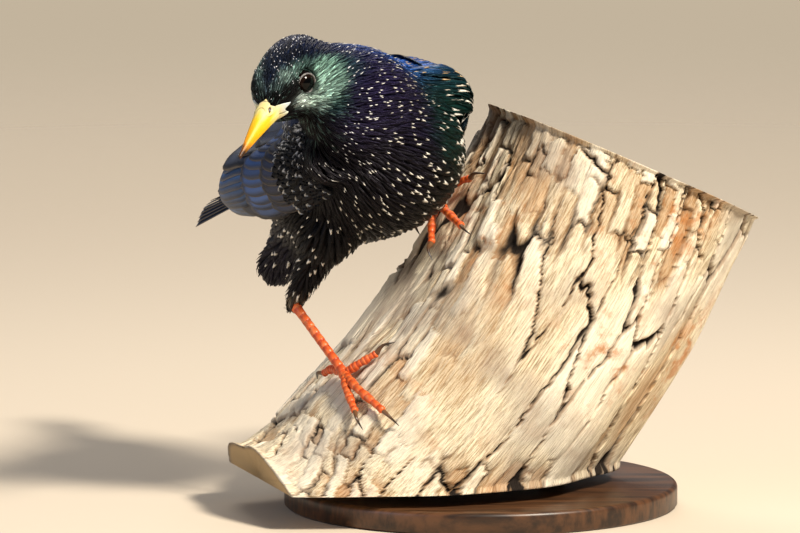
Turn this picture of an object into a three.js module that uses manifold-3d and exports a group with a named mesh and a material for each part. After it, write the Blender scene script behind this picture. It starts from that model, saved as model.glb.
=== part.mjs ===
// A life-size starling that clings to a short cut length of a leaning dead limb, on a small display stand.
// Millimetres, +Z up. The origin is the centre of the underside of the stand's round base.
// The bird looks towards -Y and +X with its body, and turns its head towards -X and down.
import * as THREE from "three";
import { mergeVertices } from "three/addons/utils/BufferGeometryUtils.js";
import Module from "manifold-3d";

// Driving dimensions of the bird
const GAP = 0.3; // space left between pieces that touch
const TORSO = { centre: [-38, -8, 106], yaw: 26, pitch: 15, roll: 15 };
const HEAD = { centre: [-57.8, -44, 136], yaw: -28, pitch: -30, roll: 0 };
const TAIL = { yaw: 20, pitch: 15.5, roll: 15 };
const TAIL_LENGTH = 71;
const TAIL_VANES_A_SIDE = 5;
const BILL_LENGTH = 24; // from the feathers at its root to the tip
const BILL_ROOT = { half: 4.8, above: 5.4, below: 3.4 }; // half width, and heights over and under the mouth
const BILL_TIP = { half: 0.45, above: 0.55, below: 0.5 };
const EYE_RADIUS = 3.6;
const LIDS = { radius: 3, thick: 0.55, out: 2.5 }; // ring of lids, out from the eye's centre
const SHANK_RADIUS = 1.55;
const TOE_RADIUS = 1.35;
const BALL_OF_FOOT = 2;
const CLAW = { length: 6.5, root: 0.95, tip: 0.12, arch: 1.3, clear: 0.15 };
const VANE_THICKNESS = 0.5;

// Driving dimensions of the perch and the stand
const LIMB_RADIUS = 45;
const LIMB_FOOT_Z = 11; // level cut at the lower end
const LIMB_RINGS = 15;
const LIMB_SIDES = 38;
const ROD_HOLE_BELOW = 5; // how far the cutter for a rod starts under the limb's foot
const BASE = { radius: 60, height: 7, bevel: 1.5 };
const ROD = { radius: 4, sink: 9 };

// The same row of draws between 0 and 1 each time.
function seeded(state) {
  return () => {
    state = (state * 1664525 + 1013904223) % 4294967296;
    return state / 4294967296;
  };
}

// Vectors and frames
const V = (x, y, z) => new THREE.Vector3(x, y, z);
const vec = (a) => new THREE.Vector3(...a);
const rad = THREE.MathUtils.degToRad;
const mix = THREE.MathUtils.lerp;
const random = seeded(11);
const smooth = (x, low, high) => THREE.MathUtils.smoothstep(x, low, high);

// Axes of a body that faces -Y at yaw 0 and turns to +X: f forward, l to its own left, u up its back.
function frameOf({ centre, yaw, pitch, roll }) {
  const [y, p, r] = [yaw, pitch, roll].map(rad);
  const f = V(Math.sin(y) * Math.cos(p), -Math.cos(y) * Math.cos(p), Math.sin(p));
  const level = V(Math.cos(y), Math.sin(y), 0);
  const back = f.clone().cross(level);
  const l = level.clone().multiplyScalar(Math.cos(r)).addScaledVector(back, Math.sin(r));
  const u = back.clone().multiplyScalar(Math.cos(r)).addScaledVector(level, -Math.sin(r));
  return { centre: vec(centre), f, l, u };
}

// The point x forward, y to the left and z up in a frame.
const at = (frame, x, y, z) =>
  frame.centre.clone().addScaledVector(frame.f, x).addScaledVector(frame.l, y).addScaledVector(frame.u, z);

const torsoFrame = frameOf(TORSO);
const headFrame = frameOf(HEAD);

// Joints of the legs, as centres in space
const LEGS = {
  right: {
    hip: at(torsoFrame, -4, -13, -9),
    knee: at(torsoFrame, 2, -18, -17),
    ankle: V(-57, -11, 63.5),
    ball: V(-41.5, -28, 44.5),
    bare: { share: 0.42, block: 11 },
  },
  left: {
    hip: at(torsoFrame, -6, 13, -9),
    knee: at(torsoFrame, 2, 18, -6),
    ankle: at(torsoFrame, -43, 24.5, -10),
    ball: V(-15.6, 4, 94.8),
    bare: { share: 0.76, block: 5.5 },
  },
};
const FLANK = V(-62.5, 12, 71.5); // loose feathers that hang behind the stretched right leg

// Signed distance, negative inside, of an egg with its radii along a frame's axes.
function egg(frame, x, y, z, rx, ry, rz) {
  const c = at(frame, x, y, z);
  const { f, l, u } = frame;
  return (px, py, pz) => {
    const dx = px - c.x;
    const dy = py - c.y;
    const dz = pz - c.z;
    const a = (dx * f.x + dy * f.y + dz * f.z) / rx;
    const b = (dx * l.x + dy * l.y + dz * l.z) / ry;
    const g = (dx * u.x + dy * u.y + dz * u.z) / rz;
    const k0 = Math.hypot(a, b, g);
    const k1 = Math.hypot(a / rx, b / ry, g / rz);
    return k1 < 1e-9 ? -Math.min(rx, ry, rz) : (k0 * (k0 - 1)) / k1;
  };
}

// Signed distance of a cone with round ends, from ball a of radius ra to ball b of radius rb.
function cone(a, ra, b, rb) {
  const axis = b.clone().sub(a);
  const length2 = axis.lengthSq();
  const slope = ra - rb;
  const side2 = length2 - slope * slope;
  return (px, py, pz) => {
    const x = px - a.x;
    const y = py - a.y;
    const z = pz - a.z;
    const along = x * axis.x + y * axis.y + z * axis.z;
    const beyond = along - length2;
    const cx = x * length2 - axis.x * along;
    const cy = y * length2 - axis.y * along;
    const cz = z * length2 - axis.z * along;
    const across2 = cx * cx + cy * cy + cz * cz;
    const k = Math.sign(slope) * slope * slope * across2;
    if (Math.sign(beyond) * side2 * beyond * beyond * length2 > k)
      return Math.sqrt(across2 + beyond * beyond * length2) / length2 - rb;
    if (Math.sign(along) * side2 * along * along * length2 < k)
      return Math.sqrt(across2 + along * along * length2) / length2 - ra;
    return (Math.sqrt((across2 * side2) / length2) + along * slope) / length2 - ra;
  };
}

// Joins two distances with a fillet about as wide as k.
const blend = (a, b, k) => {
  const h = Math.max(k - Math.abs(a - b), 0) / k;
  return Math.min(a, b) - (h * h * k) / 4;
};

// The flesh and its coat, as one smooth body: each entry is a distance and the fillet that joins it.
const FLESH = [
  [egg(torsoFrame, 12, 1, -1, 31, 26.5, 24), 1],
  [egg(torsoFrame, 6, 9, 12, 21, 18, 16.5), 6],
  [egg(torsoFrame, -12, 0, -1, 33, 22.5, 21.5), 10],
  [cone(at(torsoFrame, -26, 0, 3), 16, at(torsoFrame, -53, 0, 4), 6.5), 8],
  [cone(at(torsoFrame, 20, 0, 9), 21, at(torsoFrame, 33, -9, 17), 16), 9],
  [cone(at(torsoFrame, 33, -9, 17), 15, at(headFrame, -8, 0, -1.5), 9.3), 8],
  [egg(headFrame, 0, 0, 0.4, 14.2, 9.8, 10.4), 5],
  [cone(at(headFrame, 5.5, 0, -0.4), 8, at(headFrame, 11.5, 0, -0.8), 5.2), 4],
  [cone(LEGS.right.hip, 13, LEGS.right.knee, 8.5), 7],
  [cone(LEGS.right.knee, 8, LEGS.right.ankle, 3.4), 5],
  [cone(LEGS.right.hip, 11, FLANK, 6.5), 8],
  [cone(LEGS.left.hip, 11, LEGS.left.knee, 6.5), 5],
  [cone(LEGS.left.knee, 5, LEGS.left.ankle, 3.2), 3],
];
const flesh = (x, y, z) => FLESH.reduce((d, [part, k]) => blend(d, part(x, y, z), k), 99);

// A closed mesh of the surface where a distance is zero, on a lattice of the given step: one vertex in each cell
// that the surface crosses, then moved onto the surface along the slope of the distance.
function meshOf(body, low, high, step) {
  const e = 0.05; // step for the slope
  const n = ["x", "y", "z"].map((k) => Math.ceil((high[k] - low[k]) / step) + 1);
  const room = 1.5 * step;
  const distance = (x, y, z) =>
    Math.max(body(x, y, z), low.x + room - x, x - high.x + room, low.y + room - y, y - high.y + room,
      low.z + room - z, z - high.z + room);
  const index = (i, j, k) => (i * n[1] + j) * n[2] + k;
  const value = new Float64Array(n[0] * n[1] * n[2]);
  for (let i = 0; i < n[0]; i++)
    for (let j = 0; j < n[1]; j++)
      for (let k = 0; k < n[2]; k++)
        value[index(i, j, k)] = distance(low.x + i * step, low.y + j * step, low.z + k * step);
  const offset = [n[1] * n[2], n[2], 1];
  const position = [];
  const vertexOf = new Map();
  const vertex = (i, j, k) => {
    const key = index(i, j, k);
    if (vertexOf.has(key)) return vertexOf.get(key);
    const sum = [0, 0, 0];
    let crossings = 0;
    for (let axis = 0; axis < 3; axis++) {
      const [b, c] = [(axis + 1) % 3, (axis + 2) % 3];
      for (let corner = 0; corner < 4; corner++) {
        const start = [0, 0, 0];
        start[b] = corner & 1;
        start[c] = corner >> 1;
        const from = key + start[0] * offset[0] + start[1] * offset[1] + start[2] * offset[2];
        const [v0, v1] = [value[from], value[from + offset[axis]]];
        if (v0 < 0 === v1 < 0) continue;
        start[axis] = v0 / (v0 - v1);
        start.forEach((s, d) => (sum[d] += s));
        crossings++;
      }
    }
    const p = [low.x + (i + sum[0] / crossings) * step, low.y + (j + sum[1] / crossings) * step];
    p.push(low.z + (k + sum[2] / crossings) * step);
    for (let pass = 0; pass < 2; pass++) {
      const d = distance(...p);
      const slope = [0, 1, 2].map((a) => {
        const q = [...p];
        q[a] += e;
        return (distance(...q) - d) / e;
      });
      const size2 = slope[0] ** 2 + slope[1] ** 2 + slope[2] ** 2;
      const move = THREE.MathUtils.clamp(d / size2, -step / 3, step / 3);
      slope.forEach((s, a) => (p[a] -= s * move));
    }
    vertexOf.set(key, position.length / 3);
    position.push(...p);
    return vertexOf.get(key);
  };
  const apart2 = (p, q) => [0, 1, 2].reduce((sum, a) => sum + (position[p * 3 + a] - position[q * 3 + a]) ** 2, 0);
  const faces = [];
  for (let i = 1; i < n[0] - 1; i++)
    for (let j = 1; j < n[1] - 1; j++)
      for (let k = 1; k < n[2] - 1; k++)
        for (let axis = 0; axis < 3; axis++) {
          const inside = value[index(i, j, k)] < 0;
          if (inside === value[index(i, j, k) + offset[axis]] < 0) continue;
          const [b, c] = [(axis + 1) % 3, (axis + 2) % 3];
          const quad = [[0, 0], [-1, 0], [-1, -1], [0, -1]].map(([s, t]) => {
            const cell = [i, j, k];
            cell[b] += s;
            cell[c] += t;
            return vertex(...cell);
          });
          if (!inside) quad.reverse();
          const [p, q, r, s] = quad;
          if (apart2(p, r) < apart2(q, s)) faces.push(p, q, r, p, r, s);
          else faces.push(p, q, s, q, r, s);
        }
  return { position, faces };
}

// Solids for joining and cutting
const wasm = await Module();
wasm.setup();

function solid({ position, faces }) {
  return new wasm.Manifold(
    new wasm.Mesh({ numProp: 3, vertProperties: new Float32Array(position), triVerts: new Uint32Array(faces) }),
  );
}

function solidOf(geometry) {
  const bare = geometry.clone();
  bare.deleteAttribute("normal");
  bare.deleteAttribute("uv");
  const merged = mergeVertices(bare, 1e-4);
  return solid({ position: merged.attributes.position.array, faces: merged.index.array });
}

const union = (pieces) => pieces.reduce((a, b) => a.add(b));

// The largest closed surface of a solid, so that no scrap of a cut stays.
const largest = (s) => s.decompose().sort((a, b) => b.volume() - a.volume())[0];

// A big block that fills the side of a plane that its normal points to.
function halfSpace(point, normal) {
  const size = 400;
  const box = new THREE.BoxGeometry(size, size, size).translate(0, 0, size / 2);
  const turn = new THREE.Quaternion().setFromUnitVectors(V(0, 0, 1), normal.clone().normalize());
  box.applyQuaternion(turn).translate(point.x, point.y, point.z);
  return solidOf(box);
}

// A ball, squashed along a frame's axes if three radii are given.
function ball(centre, radius, frame, radii, sides = 14) {
  const sphere = new THREE.SphereGeometry(radius, sides, Math.round(sides * 0.65));
  if (radii) {
    sphere.scale(...radii.map((r) => r / radius));
    sphere.applyMatrix4(new THREE.Matrix4().makeBasis(frame.f, frame.l, frame.u));
  }
  return solidOf(sphere.translate(centre.x, centre.y, centre.z));
}

// Rings of points, each with the same number, joined into a closed tube with flat ends.
function loft(rings) {
  const sides = rings[0].length;
  const position = rings.flat().flatMap((p) => [p.x, p.y, p.z]);
  const faces = [];
  for (let i = 0; i + 1 < rings.length; i++)
    for (let j = 0; j < sides; j++) {
      const [a, b] = [i * sides + j, i * sides + ((j + 1) % sides)];
      faces.push(a, b, b + sides, a, b + sides, a + sides);
    }
  const last = (rings.length - 1) * sides;
  for (let j = 1; j + 1 < sides; j++) {
    faces.push(0, j + 1, j);
    faces.push(last, last + j, last + j + 1);
  }
  const made = { position, faces };
  if (solid(made).volume() >= 0) return solid(made);
  const turned = [];
  for (let i = 0; i < faces.length; i += 3) turned.push(faces[i], faces[i + 2], faces[i + 1]);
  return solid({ position, faces: turned });
}

// A round tube along a smooth line through points, whose radius is a function of the share of its length.
function tube(points, radiusAt, steps, sides) {
  const line = new THREE.CatmullRomCurve3(points, false, "centripetal");
  const { normals, binormals } = line.computeFrenetFrames(steps, false);
  const rings = [];
  for (let i = 0; i <= steps; i++) {
    const c = line.getPointAt(i / steps);
    const r = radiusAt(i / steps);
    const around = (angle) => {
      const out = normals[i].clone().multiplyScalar(r * Math.cos(angle));
      return out.addScaledVector(binormals[i], r * Math.sin(angle)).add(c);
    };
    rings.push(Array.from({ length: sides }, (_, j) => around((2 * Math.PI * j) / sides)));
  }
  return loft(rings);
}

// A feather's vane on a surface. place(t, a, lift) gives the point at share t of its length, a from -1 to 1 across
// it, and lift above the surface. Both faces are split alike.
const VANE_ROWS = [0, 0.4, 0.8, 1];
function vane(place) {
  const columns = [-1, 0, 1];
  const side = (lift) => VANE_ROWS.map((t) => columns.map((a) => place(t, a, lift)));
  const [top, under] = [side(VANE_THICKNESS / 2), side(-VANE_THICKNESS / 2)];
  const rings = VANE_ROWS.map((_, i) => [...top[i], ...under[i].reverse()]);
  return loft(rings);
}

// Head, neck, torso and thighs are cut from the one smooth body by thin planes.
const NECK_CUT = { point: at(headFrame, -9, 1, -1), normal: V(-0.55, -0.62, -0.1) };
const THROAT_UP = headFrame.u.clone().addScaledVector(headFrame.f, 0.25);
const THROAT_CUT = { point: at(headFrame, 4, 0, -9.6), normal: THROAT_UP };
const TORSO_CUT = { point: at(torsoFrame, 28, -6, 13), normal: V(-0.5, -0.5, 0.7) };
const RUMP_CUT = { point: at(torsoFrame, -51, 0, 4), normal: torsoFrame.f.clone().negate() };

function above({ point, normal }, gap = GAP / 2) {
  const n = normal.clone().normalize();
  return halfSpace(point.clone().addScaledVector(n, gap), n);
}
const below = ({ point, normal }) => above({ point, normal: normal.clone().negate() });

// Each thigh is parted from the belly by a plane across the leg, inside a round block that holds the leg alone.
const thighCut = ({ knee, ankle, bare }) => {
  return { point: knee.clone().lerp(ankle, bare.share), normal: ankle.clone().sub(knee) };
};
const legBlock = ({ knee, ankle, bare }, grow) =>
  tube([knee, ankle.clone().lerp(knee, -0.4)], () => bare.block + grow, 2, 12);
const ankleCut = (leg) => ({ point: leg.ankle, normal: leg.ball.clone().sub(leg.ankle).normalize() });

const bodyRange = [V(-110, -100, 36), V(30, 75, 171)];
const STEP = { body: 5.05, neck: 3.4, head: 2.55, thigh: 2.5 }; // lattice steps of the meshes
const fleshGrown = solid(meshOf((x, y, z) => flesh(x, y, z) - 2 * GAP, ...bodyRange, STEP.body));

function torsoSolid() {
  let body = solid(meshOf(flesh, ...bodyRange, STEP.body));
  body = body.intersect(below(TORSO_CUT)).intersect(below(RUMP_CUT));
  for (const [side, leg] of Object.entries(LEGS)) {
    body = body.subtract(legBlock(leg, GAP / 2).intersect(above(thighCut(leg))));
    body = body.subtract(shankTube(side, GAP));
  }
  return largest(body);
}

function thighSolid(leg) {
  const low = leg.knee.clone().min(leg.ankle).subScalar(14);
  const high = leg.knee.clone().max(leg.ankle).addScalar(14);
  const part = solid(meshOf(flesh, low, high, STEP.thigh));
  const block = legBlock(leg, -GAP / 2);
  return largest(part.intersect(block).intersect(above(thighCut(leg), GAP)).intersect(below(ankleCut(leg))));
}

function neckSolid() {
  const body = solid(meshOf(flesh, V(-95, -75, 81), V(15, 15, 166), STEP.neck));
  const head = above(NECK_CUT, -GAP / 2).intersect(above(THROAT_CUT, -GAP / 2));
  return largest(body.intersect(above(TORSO_CUT)).subtract(head));
}

// The eye sits in its socket with a raised ring of lids round it.
const EYES = { forward: 3.4, out: 6.9, up: 2.1 };
const eyeCentre = (side) => at(headFrame, EYES.forward, side * EYES.out, EYES.up);
function eyeLook(side) {
  const look = headFrame.l.clone().multiplyScalar(side);
  return look.addScaledVector(headFrame.f, 0.34).addScaledVector(headFrame.u, 0.04).normalize();
}

function lidRing(side) {
  const ring = new THREE.TorusGeometry(LIDS.radius, LIDS.thick, 6, 16);
  ring.applyQuaternion(new THREE.Quaternion().setFromUnitVectors(V(0, 0, 1), eyeLook(side)));
  const c = eyeCentre(side).addScaledVector(eyeLook(side), LIDS.out);
  return solidOf(ring.translate(c.x, c.y, c.z));
}

const eyeSolid = (side) => ball(eyeCentre(side), EYE_RADIUS);

// Bill: two half shells that meet along the mouth line, from 4 mm inside the feathers to the tip.
const BILL = { root: 12.5, drop: -1.2, inside: 4, rings: 9, sides: 8 };
const MOUTH = { corner: 0.35, tip: 1 }; // how far the mouth line droops at its corner and at the tip
const NOSTRIL = { forward: 4.2, out: 3.2, up: 2.8, radii: [1.5, 0.8, 0.7] };
const SOCKET = GAP + 0.2; // room round the bill's root in the head
function billHalf(upper, grow) {
  const length = BILL_LENGTH + BILL.inside;
  const rings = [];
  for (let i = 0; i <= BILL.rings; i++) {
    const t = i / BILL.rings;
    const s = t * length - BILL.inside - grow;
    const wide = mix(BILL_ROOT.half, BILL_TIP.half, t ** 0.94) * (upper ? 1 : 0.93) + grow;
    const over = mix(BILL_ROOT.above, BILL_TIP.above, t ** 1.1);
    const under = mix(BILL_ROOT.below, BILL_TIP.below, t ** 0.95);
    const deep = (upper ? over : under) + 2 * grow;
    const open = upper ? GAP / 2 - grow : -GAP / 2 + grow;
    const mouth = -MOUTH.corner * (1 - t) ** 3 - MOUTH.tip * t ** 2.2 + open;
    const ring = [];
    for (let j = 0; j <= BILL.sides; j++) {
      const a = (Math.PI * j) / BILL.sides;
      const y = wide * Math.sign(Math.cos(a)) * Math.abs(Math.cos(a)) ** 0.9;
      ring.push(at(headFrame, BILL.root + s, y, BILL.drop + mouth + (upper ? 1 : -1) * deep * Math.sin(a)));
    }
    rings.push(ring);
  }
  return loft(rings);
}

function upperBill() {
  let bill = billHalf(true, 0);
  for (const side of [1, -1]) {
    const pit = at(headFrame, BILL.root + NOSTRIL.forward, side * NOSTRIL.out, BILL.drop + NOSTRIL.up);
    bill = bill.subtract(ball(pit, 1, headFrame, NOSTRIL.radii));
  }
  return largest(bill);
}

function headSolid() {
  const low = headFrame.centre.clone().subScalar(36);
  const high = headFrame.centre.clone().addScalar(36);
  let head = solid(meshOf(flesh, low, high, STEP.head));
  head = head.intersect(above(NECK_CUT)).intersect(above(THROAT_CUT));
  head = union([head, lidRing(1), lidRing(-1)]);
  for (const side of [1, -1]) head = head.subtract(ball(eyeCentre(side), EYE_RADIUS + GAP));
  return largest(head.subtract(billHalf(true, SOCKET)).subtract(billHalf(false, SOCKET)));
}

// Tail: vanes that fan a little from a root. The two middle ones lie on top and cross the midline, and each of the
// others starts at the midline, a step lower, and reaches further out.
const tailFrame = { ...frameOf({ centre: [0, 0, 0], ...TAIL }), centre: at(torsoFrame, -51, 0, 4) };
const LAYER = VANE_THICKNESS + GAP;

function tailVane(side, i) {
  const length = TAIL_LENGTH - 3 * Math.exp(-i) - 0.5 * i + random();
  const layer = i === 0 ? (side > 0 ? 0 : 1) : i + 1;
  return vane((t, a, lift) => {
    const reach = mix(4.2, 4.6, t) + i * mix(0.5, 1.35, t);
    const inner = i === 0 ? -2.6 : GAP;
    const closing = t > 0.95 ? 0.45 : 1;
    const y = mix(inner, reach, 0.5 + (a * closing) / 2);
    const cutBack = t > 0.95 ? 1.5 * a * a : 0;
    return at(tailFrame, cutBack - t * length, side * y, 2 - layer * LAYER + lift - 0.03 * y * y);
  });
}

function tailSolid() {
  const root = ball(at(tailFrame, -5, 0, -1.2), 10, tailFrame, [18, 6.3, 4.6]);
  const vanes = [1, -1].flatMap((side) => Array.from({ length: TAIL_VANES_A_SIDE }, (_, i) => tailVane(side, i)));
  return largest(union([root, ...vanes]).intersect(above(RUMP_CUT)));
}

// Folded wing, along the body's side from the wrist back: for each distance behind the wrist, how far forward
// of the torso's centre, how high and how wide the wing is, and how far out its lower edge, middle and top lie.
const WING = [
  { behind: 0, x: 25, z: 6, half: 9, low: 22, mid: 25, top: 18 },
  { behind: 18, x: 11, z: 8, half: 13.5, low: 26, mid: 28.5, top: 16 },
  { behind: 45, x: -12, z: 10, half: 15, low: 26.5, mid: 28.5, top: 10 },
  { behind: 70, x: -34, z: 10, half: 12.5, low: 24.5, mid: 26.5, top: 7 },
  { behind: 95, x: -57, z: 9, half: 8.5, low: 19, mid: 19.5, top: 6 },
  { behind: 126, x: -85, z: 8, half: 5, low: 11, mid: 10.5, top: 5.5 },
];
const wingSpline = Object.fromEntries(
  ["x", "z", "half", "low", "mid", "top"].map((key) => [
    key,
    new THREE.SplineCurve(WING.map((w) => new THREE.Vector2(w.behind, w[key]))),
  ]),
);
const WING_LENGTH = WING.at(-1).behind;
function wingValue(key, s) {
  const stations = WING.map((w) => w.behind);
  let i = 0;
  while (i < stations.length - 2 && s > stations[i + 1]) i++;
  const share = (s - stations[i]) / (stations[i + 1] - stations[i]);
  return wingSpline[key].getPoint((i + THREE.MathUtils.clamp(share, 0, 1)) / (stations.length - 1)).y;
}

// The point s behind the wrist, c from -1 at the wing's lower edge to 1 at its top, and lift out of its surface.
function onWing(side, s, c, lift) {
  const [x, z, half] = ["x", "z", "half"].map((key) => wingValue(key, s));
  const [low, mid, top] = ["low", "mid", "top"].map((key) => wingValue(key, s));
  const out = mid + ((top - low) / 2) * c + ((top + low) / 2 - mid) * c * c;
  const lean = ((top - low) / 2 + ((top + low) / 2 - mid) * 2 * c) / half;
  const size = Math.hypot(1, lean);
  const [wider, higher, tipWider] = WING_SHIFT[side];
  const held = 1 - smooth(s, 30, 110);
  const y = out + mix(tipWider, wider, held) + lift / size;
  return at(torsoFrame, x, side * y, z + higher * held + c * half - (lift * lean) / size);
}

// Tiers of the wing's vanes, from the lowest layer up. root and tip give the distance behind the wrist and the
// place across the wing for the first vane, at the lower edge, and the last one. sink and lift are the heights at
// the root and the tip, drop the step from one vane down to the next, and wide half the width of a vane.
const TIERS = {
  primaries: {
    count: 5, wide: 3.6, sink: -2.6, lift: -2.5, drop: LAYER,
    root: [[52, -0.55], [60, 0]], tip: [[94, -0.75], [126, 0.1]],
  },
  secondaries: {
    count: 6, wide: 4.6, sink: -2, lift: 0,
    root: [[42, -0.75], [34, 0.6]], tip: [[86, -0.6], [64, 0.6]],
  },
  coverts: {
    count: 5, wide: 5, sink: -1.6, lift: 2.4,
    root: [[18, -0.66], [14, 0.7]], tip: [[52, -0.72], [42, 0.72]],
  },
};

// The closed pad of small coverts that the vanes grow from, between two places behind the wrist and across it.
function wingPad(side, from, to, low, high, inner, outer) {
  const rings = [];
  for (let i = 0; i <= 7; i++) {
    const t = i / 7;
    const s = mix(from, to, t);
    const round = Math.sqrt(Math.max(0.05, 1 - (2 * t - 1) ** 4));
    const [m, h] = [(low + high) / 2, ((high - low) / 2) * round];
    const out = [-1, -0.6, 0, 0.6, 1].map((a) => onWing(side, s, m + a * h, outer * round * (1 - 0.5 * a ** 4)));
    const back = [0.8, 0, -0.8].map((a) => onWing(side, s, m + a * h, inner * round));
    rings.push([...out, ...back]);
  }
  return loft(rings);
}

// Within a tier each vane slopes, its upper edge under the next, by as much as the gap between two vanes asks.
function wingVane(side, tier, i) {
  const share = i / (tier.count - 1);
  const [root, tip] = [tier.root, tier.tip].map(([first, last]) => first.map((v, k) => mix(v, last[k], share)));
  const spread = (Math.abs(tier.tip[1][1] - tier.tip[0][1]) * wingValue("half", tip[0])) / (tier.count - 1);
  const slope = tier.drop ? 0 : (1.05 * LAYER * tier.wide) / spread;
  const longer = 2 * random();
  return vane((t, a, lift) => {
    const s = mix(root[0], tip[0] - longer, t) - (t > 0.95 ? 1.6 * a * a : 0);
    const wide = tier.wide * Math.sin(Math.PI * (0.22 + 0.56 * t)) * (t > 0.95 ? 0.4 : 1);
    const c = mix(root[1], tip[1], smooth(t, -0.3, 1)) + (a * wide) / wingValue("half", s);
    const rise = mix(tier.sink, tier.lift, smooth(t, 0, 0.45)) - (tier.drop ?? 0) * i;
    return onWing(side, s, c, rise - slope * a * smooth(t, 0, 0.4) + lift);
  });
}

// How far out and up each wing is held at the wrist, and out at its tip: the bird leans on its left side.
const WING_SHIFT = { "1": [3.5, 5, 0.6], "-1": [0.5, 0, 0] };

function wingSolid(side) {
  const pads = [wingPad(side, -3, 50, -0.92, 0.95, -5, 0.6), wingPad(side, 22, 66, -0.9, 0.2, -6.5, -1.8)];
  const row = (tier) => Array.from({ length: tier.count }, (_, i) => wingVane(side, tier, i));
  const vanes = Object.values(TIERS).flatMap(row);
  return largest(union([...pads, ...vanes]).subtract(fleshGrown));
}

// Limb: a round section with ridges along the grain, swept up a slightly bent line.
const LIMB_LINE = new THREE.CatmullRomCurve3([
  V(-88, -28, -30), V(-44, -15, -12), V(-20.4, -6.8, 9), V(17, 3.1, 56), V(41, 13.3, 99.4), V(52, 17, 126),
]);
const RIDGES = [[3, 0.035, 0.4, 0.4], [5, 0.028, 2.1, -0.7], [9, 0.012, 0.9, 1.1]];
function limbRadius(t, angle) {
  const ridges = RIDGES.map(([n, size, phase, twist]) => size * Math.sin(n * angle + phase + twist * 4 * t));
  return LIMB_RADIUS * ridges.reduce((a, b) => a + b, 1);
}
const LIMB_ACROSS = V(0.84, 0.1, -0.53);

function limbFrame(t) {
  const along = LIMB_LINE.getTangent(t);
  const side = LIMB_ACROSS.clone().addScaledVector(along, -LIMB_ACROSS.dot(along)).normalize();
  return { centre: LIMB_LINE.getPoint(t), along, side, toward: along.clone().cross(side) };
}

function limbPoint(t, angle, lift) {
  const { centre, side, toward } = limbFrame(t);
  const r = limbRadius(t, angle) + lift;
  return centre.addScaledVector(side, r * Math.cos(angle)).addScaledVector(toward, r * Math.sin(angle));
}

// The point of the limb's surface, raised by lift, that lies nearest a point outside it.
function ontoLimb(p, lift) {
  let t = 0.6;
  for (let pass = 0; pass < 40; pass++) {
    const { centre, along } = limbFrame(t);
    t = THREE.MathUtils.clamp(t + p.clone().sub(centre).dot(along) / 600, 0, 1);
  }
  const { centre, side, toward } = limbFrame(t);
  const d = p.clone().sub(centre);
  return limbPoint(t, Math.atan2(d.dot(toward), d.dot(side)), lift);
}

const RODS = [V(-22, -6, 0), V(22, 6, 0)];
const LOWER_END = { point: V(-55, -17, -17), normal: LIMB_LINE.getTangent(0.16) };
const UPPER_END = { point: V(43, 14, 104), normal: LIMB_LINE.getTangent(0.85) };
function limbSolid(cutters) {
  const angles = Array.from({ length: LIMB_SIDES }, (_, j) => (2 * Math.PI * j) / LIMB_SIDES);
  const ringAt = (t) => angles.map((angle) => limbPoint(t, angle, 0));
  const rings = Array.from({ length: LIMB_RINGS + 1 }, (_, i) => ringAt(i / LIMB_RINGS));
  let limb = loft(rings).intersect(halfSpace(V(0, 0, LIMB_FOOT_Z), V(0, 0, 1)));
  limb = limb.intersect(above(LOWER_END)).intersect(below(UPPER_END));
  for (const rod of RODS) limb = limb.subtract(rodShape(rod, GAP, LIMB_FOOT_Z - ROD_HOLE_BELOW));
  return largest(cutters.reduce((a, b) => a.subtract(b), limb));
}

// Toes lie on the limb. Each is given by points near its surface, from the ball of the foot to the toe's end.
const TOES = {
  right: {
    inner: [V(-39, -33, 39), V(-35.5, -38, 31)],
    middle: [V(-34, -32, 37), V(-26, -36, 30)],
    outer: [V(-34, -27, 44), V(-27.5, -27, 47)],
    hind: [V(-46, -22, 46), V(-49, -16, 44)],
  },
  left: {
    inner: [V(-16, -5, 89), V(-16.5, -13, 83)],
    middle: [V(-10, -7, 91), V(-4.2, -20, 87)],
    outer: [V(-8, -2, 98), V(-1, -7, 100)],
    hind: [V(-19, 13, 89), V(-21, 20, 85)],
  },
};

const ballPoint = (side) => ontoLimb(LEGS[side].ball, TOE_RADIUS + 0.5);
function toeLine(side, name) {
  const [mid, end] = TOES[side][name];
  return [ballPoint(side), ontoLimb(mid, TOE_RADIUS + 0.9), ontoLimb(end, TOE_RADIUS * 0.8 + GAP)];
}

// A toe swells at each joint pad.
const toeRadius = (grow) => (t) => TOE_RADIUS * (1.08 - 0.3 * t + 0.1 * Math.cos(t * 6 * Math.PI)) + grow;
function toe(side, name, grow) {
  const line = toeLine(side, name);
  const ahead = line[2].clone().sub(line[1]).normalize();
  line[2].addScaledVector(ahead, grow);
  return tube(line, toeRadius(grow), 7, 6);
}
const ballOfFoot = (side, grow) => ball(ballPoint(side), BALL_OF_FOOT + grow, null, null, 10);
function footSolid(side) {
  const names = Object.keys(TOES[side]);
  const foot = union([ballOfFoot(side, 0), ...names.map((name) => toe(side, name, 0))]);
  return largest(names.reduce((made, name) => made.subtract(claw(side, name, GAP)), foot));
}

function shankTube(side, grow) {
  const { ankle } = LEGS[side];
  const end = ballPoint(side);
  const away = end.clone().sub(ankle).normalize();
  const start = ankle.clone().addScaledVector(away, GAP / 2 - grow);
  const radius = (t) => SHANK_RADIUS * (1 + 0.45 * (1 - smooth(t, 0, 0.18)) + 0.12 * smooth(t, 0.8, 1)) + grow;
  return tube([start, start.clone().lerp(end, 0.5), end], radius, 7, 9);
}

function shankSolid(side) {
  const shank = shankTube(side, 0).subtract(ballOfFoot(side, GAP));
  return largest(Object.keys(TOES[side]).reduce((made, name) => made.subtract(toe(side, name, GAP)), shank));
}

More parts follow.
